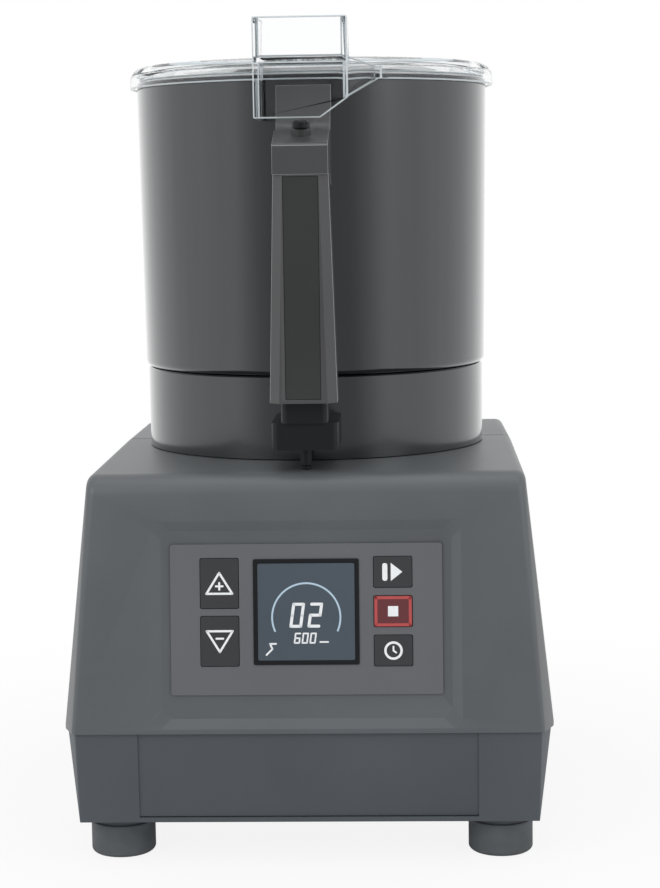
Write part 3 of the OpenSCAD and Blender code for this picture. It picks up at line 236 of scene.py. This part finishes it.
def clear_plastic(name, colour, rough=0.02):
    """Clear plastic with a trace of uneven haze.

    It bends light less than solid plastic does, so that what lies behind the lid's
    thin walls stays straight.
    """
    material, tree, shader, place = new_material(name)
    haze = add_noise(tree, place, scale=35, detail=4)
    spread_tones(tree, shader, haze, colour, dark=0.99, light=1.0)
    map_roughness(tree, shader, haze, low=rough, high=rough + 0.03)
    set_shader(shader, Transmission_Weight=1.0, IOR=1.1)
    return material


def clear_rubber(name, colour, rough=0.3):
    """Milky silicone: light goes through it, scattered."""
    material, tree, shader, place = new_material(name)
    cloud = add_noise(tree, place, scale=90, detail=4)
    spread_tones(tree, shader, cloud, colour, dark=0.97, light=1.0)
    map_roughness(tree, shader, cloud, low=rough, high=rough + 0.1)
    set_shader(shader, Transmission_Weight=0.4, IOR=1.41)
    return material


def glowing_sign(name, colour, glow):
    """Signs with a slightly uneven bright tone that glows a little: a real glow on the lit display,
    a painted glow on the printed keys.
    """
    material, tree, shader, place = new_material(name)
    cloud = add_noise(tree, place, scale=700, detail=2)
    spread_tones(tree, shader, cloud, colour, dark=0.93, light=1.0)
    map_roughness(tree, shader, cloud, low=0.35, high=0.5)
    set_shader(shader, Emission_Color=(*colour, 1), Emission_Strength=glow)
    return material


def circuit_board(name, colour):
    """Coated board: darker tracks in a fine grid under a glossy coat."""
    material, tree, shader, place = new_material(name)
    tracks = tree.nodes.new("ShaderNodeTexBrick")
    tracks.inputs["Scale"].default_value = 260
    tracks.inputs["Color1"].default_value = (*colour, 1)
    tracks.inputs["Color2"].default_value = (*tone(colour, 1.25), 1)
    tracks.inputs["Mortar"].default_value = (*tone(colour, 0.6), 1)
    tree.links.new(place, tracks.inputs["Vector"])
    tree.links.new(tracks.outputs["Color"], shader.inputs["Base Color"])
    add_bump(tree, shader, tracks.outputs["Fac"], 0.02 * MM)
    set_shader(shader, Roughness=0.3)
    return material


def wound_wire(name, colour):
    """Windings: rows of round varnished wire."""
    material, tree, shader, place = new_material(name)
    wires = add_layers(tree, place, scale=320, distortion=1.5)
    spread_tones(tree, shader, wires, colour, dark=0.45, light=1.0, span=(0.0, 0.6))
    add_bump(tree, shader, wires, 0.4 * MM)
    set_shader(shader, Metallic=0.7, Roughness=0.35)
    return material


def stacked_sheets(name, colour):
    """Laminations: thin steel sheets stacked along the motor's axis."""
    material, tree, shader, place = new_material(name)
    sheets = add_layers(tree, place, scale=300, distortion=0.2)
    spread_tones(tree, shader, sheets, colour, dark=0.6, light=1.0, span=(0.0, 0.5))
    add_bump(tree, shader, sheets, 0.15 * MM)
    set_shader(shader, Metallic=0.9, Roughness=0.45)
    return material


HOUSING_GREY = (0.116, 0.126, 0.134)
PAN_GREY = (0.083, 0.096, 0.110)
PANEL_GREY = (0.138, 0.143, 0.155)
KEY_GREY = (0.038, 0.042, 0.047)
KEY_RED = (0.150, 0.032, 0.038)
DISPLAY_BLUE = (0.076, 0.100, 0.125)
# Steel of the bowl and its ring, darkened: a painted dark reflection
BOWL_PAINTED_DARK_REFLECTION = (0.055, 0.059, 0.064)
HANDLE_GREY = (0.066, 0.067, 0.070)
# The polished grain of the bowl: long level streaks
BOWL_GRAIN = {"stretch": (9, 9, 0.35), "scale": 9}

# The finish of every material slot of the record
FINISHES = {
    "housing": moulded_plastic("housing_grey", HOUSING_GREY, rough=0.38, grain=1500, depth=0.05),
    "pan": moulded_plastic("pan_grey", PAN_GREY, rough=0.52, grain=1500, depth=0.05),
    "overlay": moulded_plastic(
        "overlay_satin", PANEL_GREY, rough=0.42, grain=2600, depth=0.02, vary=0.02
    ),
    "keys": moulded_plastic("key_dark", KEY_GREY, rough=0.45, grain=2600, depth=0.02, vary=0.04),
    "stop_key": moulded_plastic("key_dark_red", KEY_RED, rough=0.4, grain=2600, depth=0.02),
    "black_plastic": moulded_plastic(
        "black_plastic", (0.014, 0.015, 0.017), rough=0.25, grain=1800, depth=0.01, gloss=0.2
    ),
    "display_glass": moulded_plastic(
        "display_face", DISPLAY_BLUE, rough=0.16, grain=900, depth=0.002, vary=0.06
    ),
    "handle": moulded_plastic(
        "handle_grey", HANDLE_GREY, rough=0.34, grain=1700, depth=0.03, vary=0.06
    ),
    "insert": moulded_plastic(
        "insert_black",
        (0.036, 0.039, 0.039),
        rough=0.4,
        grain=1700,
        depth=0.03,
        vary=0.08,
        gloss=0.35,
    ),
    "acetal": moulded_plastic(
        "acetal_white", (0.62, 0.62, 0.58), rough=0.38, grain=900, depth=0.02, vary=0.03
    ),
    "bowl_metal": drawn_metal(
        "bowl_metal", BOWL_PAINTED_DARK_REFLECTION, rough=0.17, vary=0.10, depth=0.0003, coat=1.0, **BOWL_GRAIN
    ),
    "ring_metal": drawn_metal(
        "ring_metal", BOWL_PAINTED_DARK_REFLECTION, rough=0.22, vary=0.07, depth=0.0003, coat=1.0, **BOWL_GRAIN
    ),
    "steel_sheet": drawn_metal(
        "steel_sheet", (0.50, 0.51, 0.52), rough=0.34, stretch=(2, 40, 40), vary=0.10, scale=10
    ),
    "screws": cast_metal("screw_zinc", (0.55, 0.56, 0.58), rough=0.3, grain=900, depth=0.01),
    "blade_steel": drawn_metal(
        "blade_steel", (0.62, 0.63, 0.64), rough=0.18, stretch=(30, 3, 30), vary=0.08, scale=14
    ),
    "bearing_steel": drawn_metal(
        "ground_steel", (0.64, 0.65, 0.67), rough=0.14, stretch=(4, 4, 60), vary=0.06, scale=14
    ),
    "spring_steel": drawn_metal(
        "spring_wire", (0.45, 0.46, 0.47), rough=0.28, stretch=(20, 20, 60), vary=0.10, scale=14
    ),
    "cast_aluminium": cast_metal("cast_aluminium", (0.52, 0.53, 0.55)),
    "rubber": soft_rubber("black_rubber", (0.114, 0.125, 0.134)),
    "clear_silicone": clear_rubber("clear_silicone", (0.96, 0.98, 0.985)),
    "silicone": soft_rubber("grey_silicone", (0.20, 0.21, 0.22), rough=0.55),
    "laminations": stacked_sheets("laminations", (0.22, 0.23, 0.25)),
    "copper": wound_wire("copper_winding", (0.55, 0.20, 0.07)),
    "board": circuit_board("circuit_board", (0.015, 0.10, 0.045)),
    "clear_plastic": clear_plastic("clear_lid", (0.99, 0.996, 1.0)),
}

BOWL_INSIDE = drawn_metal(
    "bowl_inside", (0.60, 0.61, 0.62), rough=0.2, vary=0.06, depth=0.002, **BOWL_GRAIN
)
# A light grey on the rounded edges of the grip and its cap: a painted highlight
HANDLE_PAINTED_HIGHLIGHT = moulded_plastic("handle_painted_highlight", (0.38, 0.385, 0.40), rough=0.3, grain=1700, depth=0.02)
# A pale opaque tone on the lid's rounded edges: a painted highlight
CLEAR_PAINTED_HIGHLIGHT = moulded_plastic("clear_painted_highlight", (0.66, 0.72, 0.75), rough=0.15, grain=1200, depth=0.005)
# The glow of the signs on the keys and of the stop key's border is painted light, as they are
# printed; the display's signs are lit
SIGN_WHITE = glowing_sign("sign_white", (0.86, 0.88, 0.90), glow=0.15)
SIGN_PALE_BLUE = glowing_sign("sign_pale_blue", (0.42, 0.55, 0.66), glow=0.25)
SIGN_RED = glowing_sign("sign_red", (0.50, 0.075, 0.075), glow=0.1)

# Dressed CAD nodes

# Slot of every node, as the record names it, and the body that it rides on
SLOTS = {row["node"]: row["material_slot"] for row in frame["record"]["subparts"]}
BODY_OF = {
    node: body
    for body, members in frame["record"]["behaviour"]["bodies"].items()
    for node in members
}

# Edge radius in millimetres of the pieces whose edges are rounded here
EDGES = {
    "front_housing": 0.7,
    "rear_housing": 0.7,
    "lower_pan": 0.8,
    "bottom_plate": 0.3,
    "feet": 0.8,
    "control_overlay": 0.2,
    "display_frame": 0.15,
    "display_window": 0.1,
    "key_up": 0.25,
    "key_down": 0.25,
    "key_start": 0.25,
    "key_stop": 0.25,
    "key_timer": 0.25,
    "motor_flange": 0.5,
    "cable_gland": 0.4,
    "seat_ring": 0.5,
    "bowl": 0.35,
    "bowl_base_ring": 0.9,
    "handle_grip": 1.5,
    "handle_insert": 0.3,
    "handle_bracket": 1.1,
    "handle_block": 0.8,
    "safety_rod": 0.3,
    "thrust_ring": 0.3,
    "cutter_hub": 0.4,
    "lower_blade": 0.3,
    "upper_blade": 0.3,
    "blade_spacer": 0.3,
    "cutter_knob": 0.8,
    "lid": 0.75,
    "lid_seal": 0.3,
    "feed_stopper": 0.6,
}
EDGE_SEGMENTS = 2
SHARP_ANGLE = math.radians(32)
# Facets that lean less than this to each other are one flat face
FLAT_ANGLE = math.radians(0.6)
NODE_WELD = 0.002 * MM
# Pieces whose rounded edges get a lighter material of their own: a painted highlight along the
# edges
PAINTED_EDGE_HIGHLIGHTS = {"handle_grip": HANDLE_PAINTED_HIGHLIGHT, "handle_bracket": HANDLE_PAINTED_HIGHLIGHT, "lid": CLEAR_PAINTED_HIGHLIGHT}
# Height of the grip's foot, under which its stem begins and is painted black as shade
GRIP_FOOT_Z = 235.5 * MM
# Distance from the middle plane past which only the grip's outer edges lie, which alone get the
# rounding and its painted highlight
GRIP_EDGE_X = 12.8 * MM
# Radius past which the bowl's metal is its outer wall
BOWL_WALL_R = 90 * MM
# A face of the bowl's wall looks outwards past this share, and one of its underside
# looks down past the other
OUTWARD_SHARE = 0.2
DOWNWARD_SHARE = -0.5


def link_piece(name, form, body, finish=None, slot=None, replaced=()):
    """Makes the finished bmesh a piece that rides on a body."""
    mesh = bpy.data.meshes.new(name)
    form.to_mesh(mesh)
    form.free()
    piece = bpy.data.objects.new(name, mesh)
    bpy.context.scene.collection.objects.link(piece)
    piece.data.materials.append(finish or FINISHES[slot])
    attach(piece, body)
    if replaced:
        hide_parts(*replaced)
    return piece


def add_finish(piece, finish):
    """Gives the piece one more finish, and says its number on the piece."""
    piece.data.materials.append(finish)
    return len(piece.data.materials) - 1


def merged_copy(name):
    """The node's mesh with its loose triangles joined and its flat faces whole."""
    form = bmesh.new()
    form.from_mesh(nodes[name].data)
    bmesh.ops.remove_doubles(form, verts=form.verts, dist=NODE_WELD)
    bmesh.ops.dissolve_limit(form, angle_limit=FLAT_ANGLE, verts=form.verts, edges=form.edges)
    return form


def weigh_outer_edges(form, reach):
    """Marks the sharp edges further than reach from the middle plane, for rounding and its painted
    highlight.
    """
    weight = form.edges.layers.float.new("bevel_weight_edge")
    for edge in form.edges:
        far = min(abs(v.co.x) for v in edge.verts) > reach
        if far and len(edge.link_faces) == 2 and edge.calc_face_angle() > SHARP_ANGLE:
            edge[weight] = 1.0


def soften(name, edge):
    """A copy of the node with rounded edges, shown in the node's place."""
    form = merged_copy(name)
    if name == "handle_grip":
        weigh_outer_edges(form, GRIP_EDGE_X)
    piece = link_piece(
        name + "_shown", form, BODY_OF[name], slot=SLOTS[name], replaced=[name]
    )
    piece.data.shade_smooth()
    piece.data.set_sharp_from_angle(angle=SHARP_ANGLE)
    bevel = piece.modifiers.new("edges", "BEVEL")
    bevel.width = edge * MM
    bevel.segments = EDGE_SEGMENTS
    bevel.limit_method = "WEIGHT" if name == "handle_grip" else "ANGLE"
    bevel.angle_limit = SHARP_ANGLE
    # The lid's thin walls show every bent normal, so its rounding is left plain
    bevel.harden_normals = name != "lid"
    bevel.use_clamp_overlap = name != "lid"
    return piece


def brighten_inside(bowl):
    """Gives the bowl's inside a plain steel tone; its outside keeps the darkened tone of a painted
    dark reflection.
    """
    bare = add_finish(bowl, BOWL_INSIDE)
    for face in bowl.data.polygons:
        across = Vector((face.center.x, face.center.y - BOWL_AXIS_Y))
        outwards = face.normal.xy.dot(across.normalized())
        outside = across.length > BOWL_WALL_R and outwards > OUTWARD_SHARE
        if not outside and face.normal.z > DOWNWARD_SHARE:
            face.material_index = bare


def paint_stem_shade(grip):
    """Gives the stem under the grip the black of the block that it stands on: painted shade, as the
    stem lies in shadow.
    """
    black = add_finish(grip, FINISHES["black_plastic"])
    for face in grip.data.polygons:
        if face.center.z < GRIP_FOOT_Z:
            face.material_index = black


def dress_nodes():
    """Rounds the nodes that the camera sees close, and gives every node its finish."""
    for name, node in nodes.items():
        if name not in EDGES:
            node.data.materials.clear()
            node.data.materials.append(FINISHES[SLOTS[name]])
            continue
        piece = soften(name, EDGES[name])
        # The rounding of these pieces gets a lighter material: a painted highlight
        if name in PAINTED_EDGE_HIGHLIGHTS:
            piece.modifiers["edges"].material = add_finish(piece, PAINTED_EDGE_HIGHLIGHTS[name])
        if name == "bowl":
            brighten_inside(piece)
        if name == "handle_grip":
            # The stem's black is painted shade
            paint_stem_shade(piece)


# Signs on the panel, in millimetres on its face: x to the right and y up from the middle

FACE_TILT = math.radians(6.3045)
FACE_MIDDLE = (0, -147.93 * MM, 130.5 * MM)
ON_FACE = (
    Matrix.Translation(FACE_MIDDLE)
    @ Matrix.Rotation(math.radians(90) - FACE_TILT, 4, "X")
    @ Matrix.Scale(MM, 4)
)
# Where the keys and the display end, from the plane of the face
KEY_TOP = -2.0
WINDOW_TOP = -2.1
# How far a sign stands proud, and how far one bar stands above another that it crosses
SIGN_T = 0.12
LAP = 0.01
SIGN_WELD = 0.0005 * MM
# Share of a bar's width that is rounded away at its corners
CORNER_SHARE = 0.42
CORNER_SEGMENTS = 3
ARC_STEPS = 48


def add_bar(form, start, end, width, top):
    """A flat bar with rounded corners from start to end, standing proud of top."""
    a, b = Vector((*start, 0)), Vector((*end, 0))
    run = b - a
    made = bmesh.ops.create_cube(form, size=1.0)["verts"]
    bmesh.ops.scale(form, vec=(run.length + width, width, 2 * SIGN_T), verts=made)
    edges = {edge for vert in made for edge in vert.link_edges}
    corners = [e for e in edges if abs(e.verts[0].co.z - e.verts[1].co.z) > SIGN_T]
    rounded = bmesh.ops.bevel(
        form,
        geom=corners,
        offset=width * CORNER_SHARE,
        segments=CORNER_SEGMENTS,
        profile=0.5,
        affect="EDGES",
        material=-1,
    )
    made = list({v for v in made if v.is_valid} | set(rounded["verts"]))
    turn = Matrix.Rotation(math.atan2(run.y, run.x), 4, "Z")
    place = Matrix.Translation((*((a + b) / 2).xy, top))
    bmesh.ops.transform(form, matrix=ON_FACE @ place @ turn, verts=made)


def add_line(form, points, width, top, closed=False):
    """Bars from point to point, and back to the first one where the line is closed."""
    ends = points[1:] + (points[:1] if closed else [])
    for start, end in zip(points, ends):
        add_bar(form, start, end, width, top)


def add_arc(form, centre, radius, first, last, width, top):
    """A flat arc between two angles, spun from one end of the line."""
    section = bmesh.ops.create_grid(form, x_segments=1, y_segments=1, size=0.5)["verts"]
    bmesh.ops.scale(form, vec=(width, 2 * SIGN_T, 1), verts=section)
    bmesh.ops.rotate(form, matrix=Matrix.Rotation(math.radians(90), 3, "X"), verts=section)
    bmesh.ops.translate(form, vec=(radius, 0, 0), verts=section)
    bmesh.ops.rotate(form, matrix=Matrix.Rotation(math.radians(first), 3, "Z"), verts=section)
    faces = list({f for v in section for f in v.link_faces})
    edges = list({e for v in section for e in v.link_edges})
    before = set(form.verts) - set(section)
    bmesh.ops.spin(
        form,
        geom=section + edges + faces,
        axis=(0, 0, 1),
        cent=(0, 0, 0),
        angle=math.radians(last - first),
        steps=ARC_STEPS,
        use_merge=abs(last - first) >= 360,
    )
    made = list(set(form.verts) - before)
    place = Matrix.Translation((*centre, top))
    bmesh.ops.transform(form, matrix=ON_FACE @ place, verts=made)


def add_fill(form, points, top):
    """A filled flat shape with straight sides."""
    verts = [form.verts.new((*p, -SIGN_T)) for p in points]
    base = form.faces.new(verts)
    lifted = bmesh.ops.extrude_face_region(form, geom=[base])["geom"]
    raised = [g for g in lifted if isinstance(g, bmesh.types.BMVert)]
    bmesh.ops.translate(form, vec=(0, 0, 2 * SIGN_T), verts=raised)
    place = Matrix.Translation((0, 0, top))
    bmesh.ops.transform(form, matrix=ON_FACE @ place, verts=verts + raised)


# Bars of the digits that are shown: a is the top one, b and c are on the right, d is the
# bottom one, e and f are on the left, and g is in the middle
DIGIT_BARS = {"0": "abcdef", "2": "abged", "6": "afgedc"}
DIGIT_LEAN = 0.14
BIG_DIGIT = {"middle_y": -1.7, "width": 5.0, "height": 11.2, "line": 1.5}
SMALL_DIGIT = {"middle_y": -13.4, "width": 2.4, "height": 4.8, "line": 0.8}


def add_digit(form, digit, middle_x, middle_y, width, height, line):
    """A leaning seven-segment digit on the display."""
    w, h = width / 2, height / 2
    spots = {
        "a": ((-w, h), (w, h)),
        "b": ((w, h), (w, 0)),
        "c": ((w, 0), (w, -h)),
        "d": ((-w, -h), (w, -h)),
        "e": ((-w, 0), (-w, -h)),
        "f": ((-w, h), (-w, 0)),
        "g": ((-w, 0), (w, 0)),
    }
    for name in DIGIT_BARS[digit]:
        start, end = (
            (middle_x + x + DIGIT_LEAN * y, middle_y + y) for x, y in spots[name]
        )
        add_bar(form, start, end, line, WINDOW_TOP)


def finish_sign(name, form, body, finish, slot):
    bmesh.ops.remove_doubles(form, verts=form.verts, dist=SIGN_WELD)
    bmesh.ops.recalc_face_normals(form, faces=form.faces)
    return link_piece(name, form, body, finish=finish, slot=slot)


# Middles of the keys: the arrow keys on the left, the small keys on the right
KEY_X = 44.2
ARROW_Y = 14.75
SMALL_PITCH = 20.0
# The arrows, from the middle of their keys, with the plus or minus inside
ARROW_REACH = 6.6
ARROW_FOOT = 5.2
ARROW_TIP = 5.4
ARROW_LINE = 1.1
MARK_REACH = 1.7
MARK_DROP = 1.4
MARK_LINE = 1.0
# The start sign: an upright bar and a triangle that points right
START_BAR_X = 4.0
START_BAR_REACH = 3.2
START_BAR_W = 2.6
START_BACK = 1.0
START_TIP = 4.9
START_REACH = 4.6
# The stop key's border and square
BORDER_REACH = (8.7, 6.9)
BORDER_LINE = 1.5
SQUARE_REACH = (2.6, 2.6)
# The clock: its dial and where its hands end
DIAL_R = 4.1
DIAL_LINE = 1.2
LONG_HAND = (0, 2.0)
SHORT_HAND = (1.3, -1.0)
HAND_LINE = 0.9
# The display: the arc of the gauge, a dash and a bent line
GAUGE_MIDDLE = (0, -2.8)
GAUGE_R = 17.4
GAUGE_ENDS = (-24.5, 204.5)
GAUGE_LINE = 0.9
DASH = ((7.0, -15.4), (11.0, -15.4))
GLYPH = [(-15.6, -16.2), (-18.6, -16.2), (-17.4, -18.8), (-20.4, -21.8)]
GLYPH_LINE = 0.9


def corners_of(middle, reach):
    """The four corners of a rectangle round its middle."""
    (x, y), (w, h) = middle, reach
    return [(x - w, y - h), (x + w, y - h), (x + w, y + h), (x - w, y + h)]


def make_arrow_sign(name, body, way):
    """An arrow up with a plus in it, with a way of 1, or down with a minus, of -1."""
    arrow = bmesh.new()
    foot_y = way * (ARROW_Y - ARROW_FOOT)
    tip = (-KEY_X, way * (ARROW_Y + ARROW_TIP))
    corners = [(-KEY_X - ARROW_REACH, foot_y), (-KEY_X + ARROW_REACH, foot_y), tip]
    add_line(arrow, corners, ARROW_LINE, KEY_TOP, closed=True)
    mark_y = way * (ARROW_Y - MARK_DROP)
    left, right = (-KEY_X - MARK_REACH, mark_y), (-KEY_X + MARK_REACH, mark_y)
    add_bar(arrow, left, right, MARK_LINE, KEY_TOP)
    if way > 0:
        low, high = (-KEY_X, mark_y - MARK_REACH), (-KEY_X, mark_y + MARK_REACH)
        add_bar(arrow, low, high, MARK_LINE, KEY_TOP + LAP)
    finish_sign(name, arrow, body, SIGN_WHITE, "keys")


def make_key_signs():
    make_arrow_sign("sign_up", "key_up_body", 1)
    make_arrow_sign("sign_down", "key_down_body", -1)

    start = bmesh.new()
    bar_x, back_x = KEY_X - START_BAR_X, KEY_X - START_BACK
    low, high = SMALL_PITCH - START_BAR_REACH, SMALL_PITCH + START_BAR_REACH
    add_bar(start, (bar_x, low), (bar_x, high), START_BAR_W, KEY_TOP)
    triangle = [
        (back_x, SMALL_PITCH - START_REACH),
        (KEY_X + START_TIP, SMALL_PITCH),
        (back_x, SMALL_PITCH + START_REACH),
    ]
    add_fill(start, triangle, KEY_TOP)
    finish_sign("sign_start", start, "key_start_body", SIGN_WHITE, "keys")

    border = bmesh.new()
    border_corners = corners_of((KEY_X, 0), BORDER_REACH)
    add_line(border, border_corners, BORDER_LINE, KEY_TOP, closed=True)
    finish_sign("stop_border", border, "key_stop_body", SIGN_RED, "stop_key")
    square = bmesh.new()
    add_fill(square, corners_of((KEY_X, 0), SQUARE_REACH), KEY_TOP)
    finish_sign("sign_stop", square, "key_stop_body", SIGN_WHITE, "stop_key")

    timer = bmesh.new()
    add_arc(timer, (KEY_X, -SMALL_PITCH), DIAL_R, 0, 360, DIAL_LINE, KEY_TOP)
    for (x, y), top in ((LONG_HAND, KEY_TOP), (SHORT_HAND, KEY_TOP + LAP)):
        add_bar(timer, (KEY_X, -SMALL_PITCH), (KEY_X + x, -SMALL_PITCH + y), HAND_LINE, top)
    finish_sign("sign_timer", timer, "key_timer_body", SIGN_WHITE, "keys")


def make_display_signs():
    gauge = bmesh.new()
    add_arc(gauge, GAUGE_MIDDLE, GAUGE_R, *GAUGE_ENDS, GAUGE_LINE, WINDOW_TOP)
    finish_sign("display_gauge", gauge, "base", SIGN_PALE_BLUE, "display_glass")

    digits = bmesh.new()
    for digit, x in (("0", -4.6), ("2", 4.6)):
        add_digit(digits, digit, x, **BIG_DIGIT)
    for digit, x in (("6", -4.6), ("0", -0.6), ("0", 3.4)):
        add_digit(digits, digit, x, **SMALL_DIGIT)
    add_bar(digits, *DASH, SMALL_DIGIT["line"], WINDOW_TOP)
    finish_sign("display_digits", digits, "base", SIGN_WHITE, "display_glass")

    glyph = bmesh.new()
    add_line(glyph, GLYPH, GLYPH_LINE, WINDOW_TOP)
    finish_sign("display_glyph", glyph, "base", SIGN_WHITE, "display_glass")


# Floor and light, in metres and watts

# Light of the room on matt surfaces, and what reflections see of its dark side
ROOM_LIGHT = 0.62
ROOM_SHADE = 0.42
# How far a reflection points to the front where the dark side begins and ends
SHADE_SPAN = (-0.93, -0.60)

FLOOR_SIZE = 20
FLOOR_DROP = 0.2 * MM
FLOOR_PAPER = 0.92
# The floor's own white, which grows to full over this distance from the middle
FLOOR_GLOW = 0.88
FLOOR_FADE = (0.12, 0.5)

# Name, place, size and power of every lamp, and the point that all of them light
LAMPS = (
    ("overhead", (0.1, -0.2, 2.2), (1.6, 1.4), 6),
    ("front_left", (-1.6, -1.9, 1.6), (1.2, 1.2), 12),
    ("front_right", (1.9, -1.5, 1.2), (1.0, 1.2), 6),
)
LAMP_AIM = (0, 0, 0.2)


def add_room_shade(tree, direction):
    """Strength that reflections see: the room in front of the machine is darker."""
    parts = tree.nodes.new("ShaderNodeSeparateXYZ")
    tree.links.new(direction, parts.inputs["Vector"])
    return add_fade(tree, parts.outputs["Y"], SHADE_SPAN, ROOM_SHADE, 1.0)


def add_rays(tree):
    """Rays that see the background, straight or through the lid, and those of reflections."""
    rays = tree.nodes.new("ShaderNodeLightPath")
    direct = add_math(
        tree, "MAXIMUM", rays.outputs["Is Camera Ray"], rays.outputs["Is Transmission Ray"]
    )
    return direct, rays.outputs["Is Glossy Ray"]


def add_vector_math(tree, operation, vector):
    node = tree.nodes.new("ShaderNodeVectorMath")
    node.operation = operation
    tree.links.new(vector, node.inputs[0])
    return node


def white_floor():
    """White paper that takes shadows and goes over into the white background."""
    material = bpy.data.materials.new("floor_white")
    material.use_nodes = True
    tree = material.node_tree
    tree.nodes.clear()
    place = tree.nodes.new("ShaderNodeTexCoord").outputs["Object"]
    direct, glossy = add_rays(tree)

    paper = tree.nodes.new("ShaderNodeBsdfDiffuse")
    paper.inputs["Color"].default_value = (FLOOR_PAPER, FLOOR_PAPER, FLOOR_PAPER, 1)
    white = tree.nodes.new("ShaderNodeEmission")
    white.inputs["Color"].default_value = (1, 1, 1, 1)
    shade = add_room_shade(tree, add_vector_math(tree, "NORMALIZE", place).outputs["Vector"])
    tree.links.new(add_blend(tree, glossy, 1.0, shade), white.inputs["Strength"])

    distance = add_vector_math(tree, "LENGTH", place).outputs["Value"]
    glow = add_fade(tree, distance, FLOOR_FADE, FLOOR_GLOW, 1.0)
    seen = add_math(tree, "MAXIMUM", direct, glossy)
    blend = tree.nodes.new("ShaderNodeMixShader")
    tree.links.new(add_math(tree, "MULTIPLY", glow, seen), blend.inputs["Fac"])
    tree.links.new(paper.outputs["BSDF"], blend.inputs[1])
    tree.links.new(white.outputs["Emission"], blend.inputs[2])
    output = tree.nodes.new("ShaderNodeOutputMaterial")
    tree.links.new(blend.outputs["Shader"], output.inputs["Surface"])
    return material


def make_floor():
    form = bmesh.new()
    bmesh.ops.create_grid(form, x_segments=2, y_segments=2, size=FLOOR_SIZE)
    bmesh.ops.translate(form, vec=(0, 0, -FLOOR_DROP), verts=form.verts)
    mesh = bpy.data.meshes.new("floor")
    form.to_mesh(mesh)
    form.free()
    floor = bpy.data.objects.new("floor", mesh)
    bpy.context.scene.collection.objects.link(floor)
    mesh.materials.append(white_floor())


def make_world():
    world = bpy.data.worlds.new("studio")
    bpy.context.scene.world = world
    world.use_nodes = True
    tree = world.node_tree
    backdrop = tree.nodes["Background"]
    backdrop.inputs["Color"].default_value = (1, 1, 1, 1)
    place = tree.nodes.new("ShaderNodeTexCoord")
    shade = add_room_shade(tree, place.outputs["Generated"])
    direct, glossy = add_rays(tree)
    plain = add_blend(tree, direct, ROOM_LIGHT, 1.0)
    strength = add_blend(tree, glossy, plain, shade)
    tree.links.new(strength, backdrop.inputs["Strength"])


def make_lamp(name, place, size, power):
    lamp_data = bpy.data.lights.new(name, "AREA")
    lamp_data.shape = "RECTANGLE"
    lamp_data.size, lamp_data.size_y = size
    lamp_data.energy = power
    lamp = bpy.data.objects.new(name, lamp_data)
    bpy.context.scene.collection.objects.link(lamp)
    lamp.location = place
    lamp.rotation_euler = (Vector(LAMP_AIM) - Vector(place)).to_track_quat("-Z", "Y").to_euler()


make_camera()
dress_nodes()
make_key_signs()
make_display_signs()
make_floor()
make_world()
for lamp_row in LAMPS:
    make_lamp(*lamp_row)

bpy.context.scene.view_settings.view_transform = "Standard"
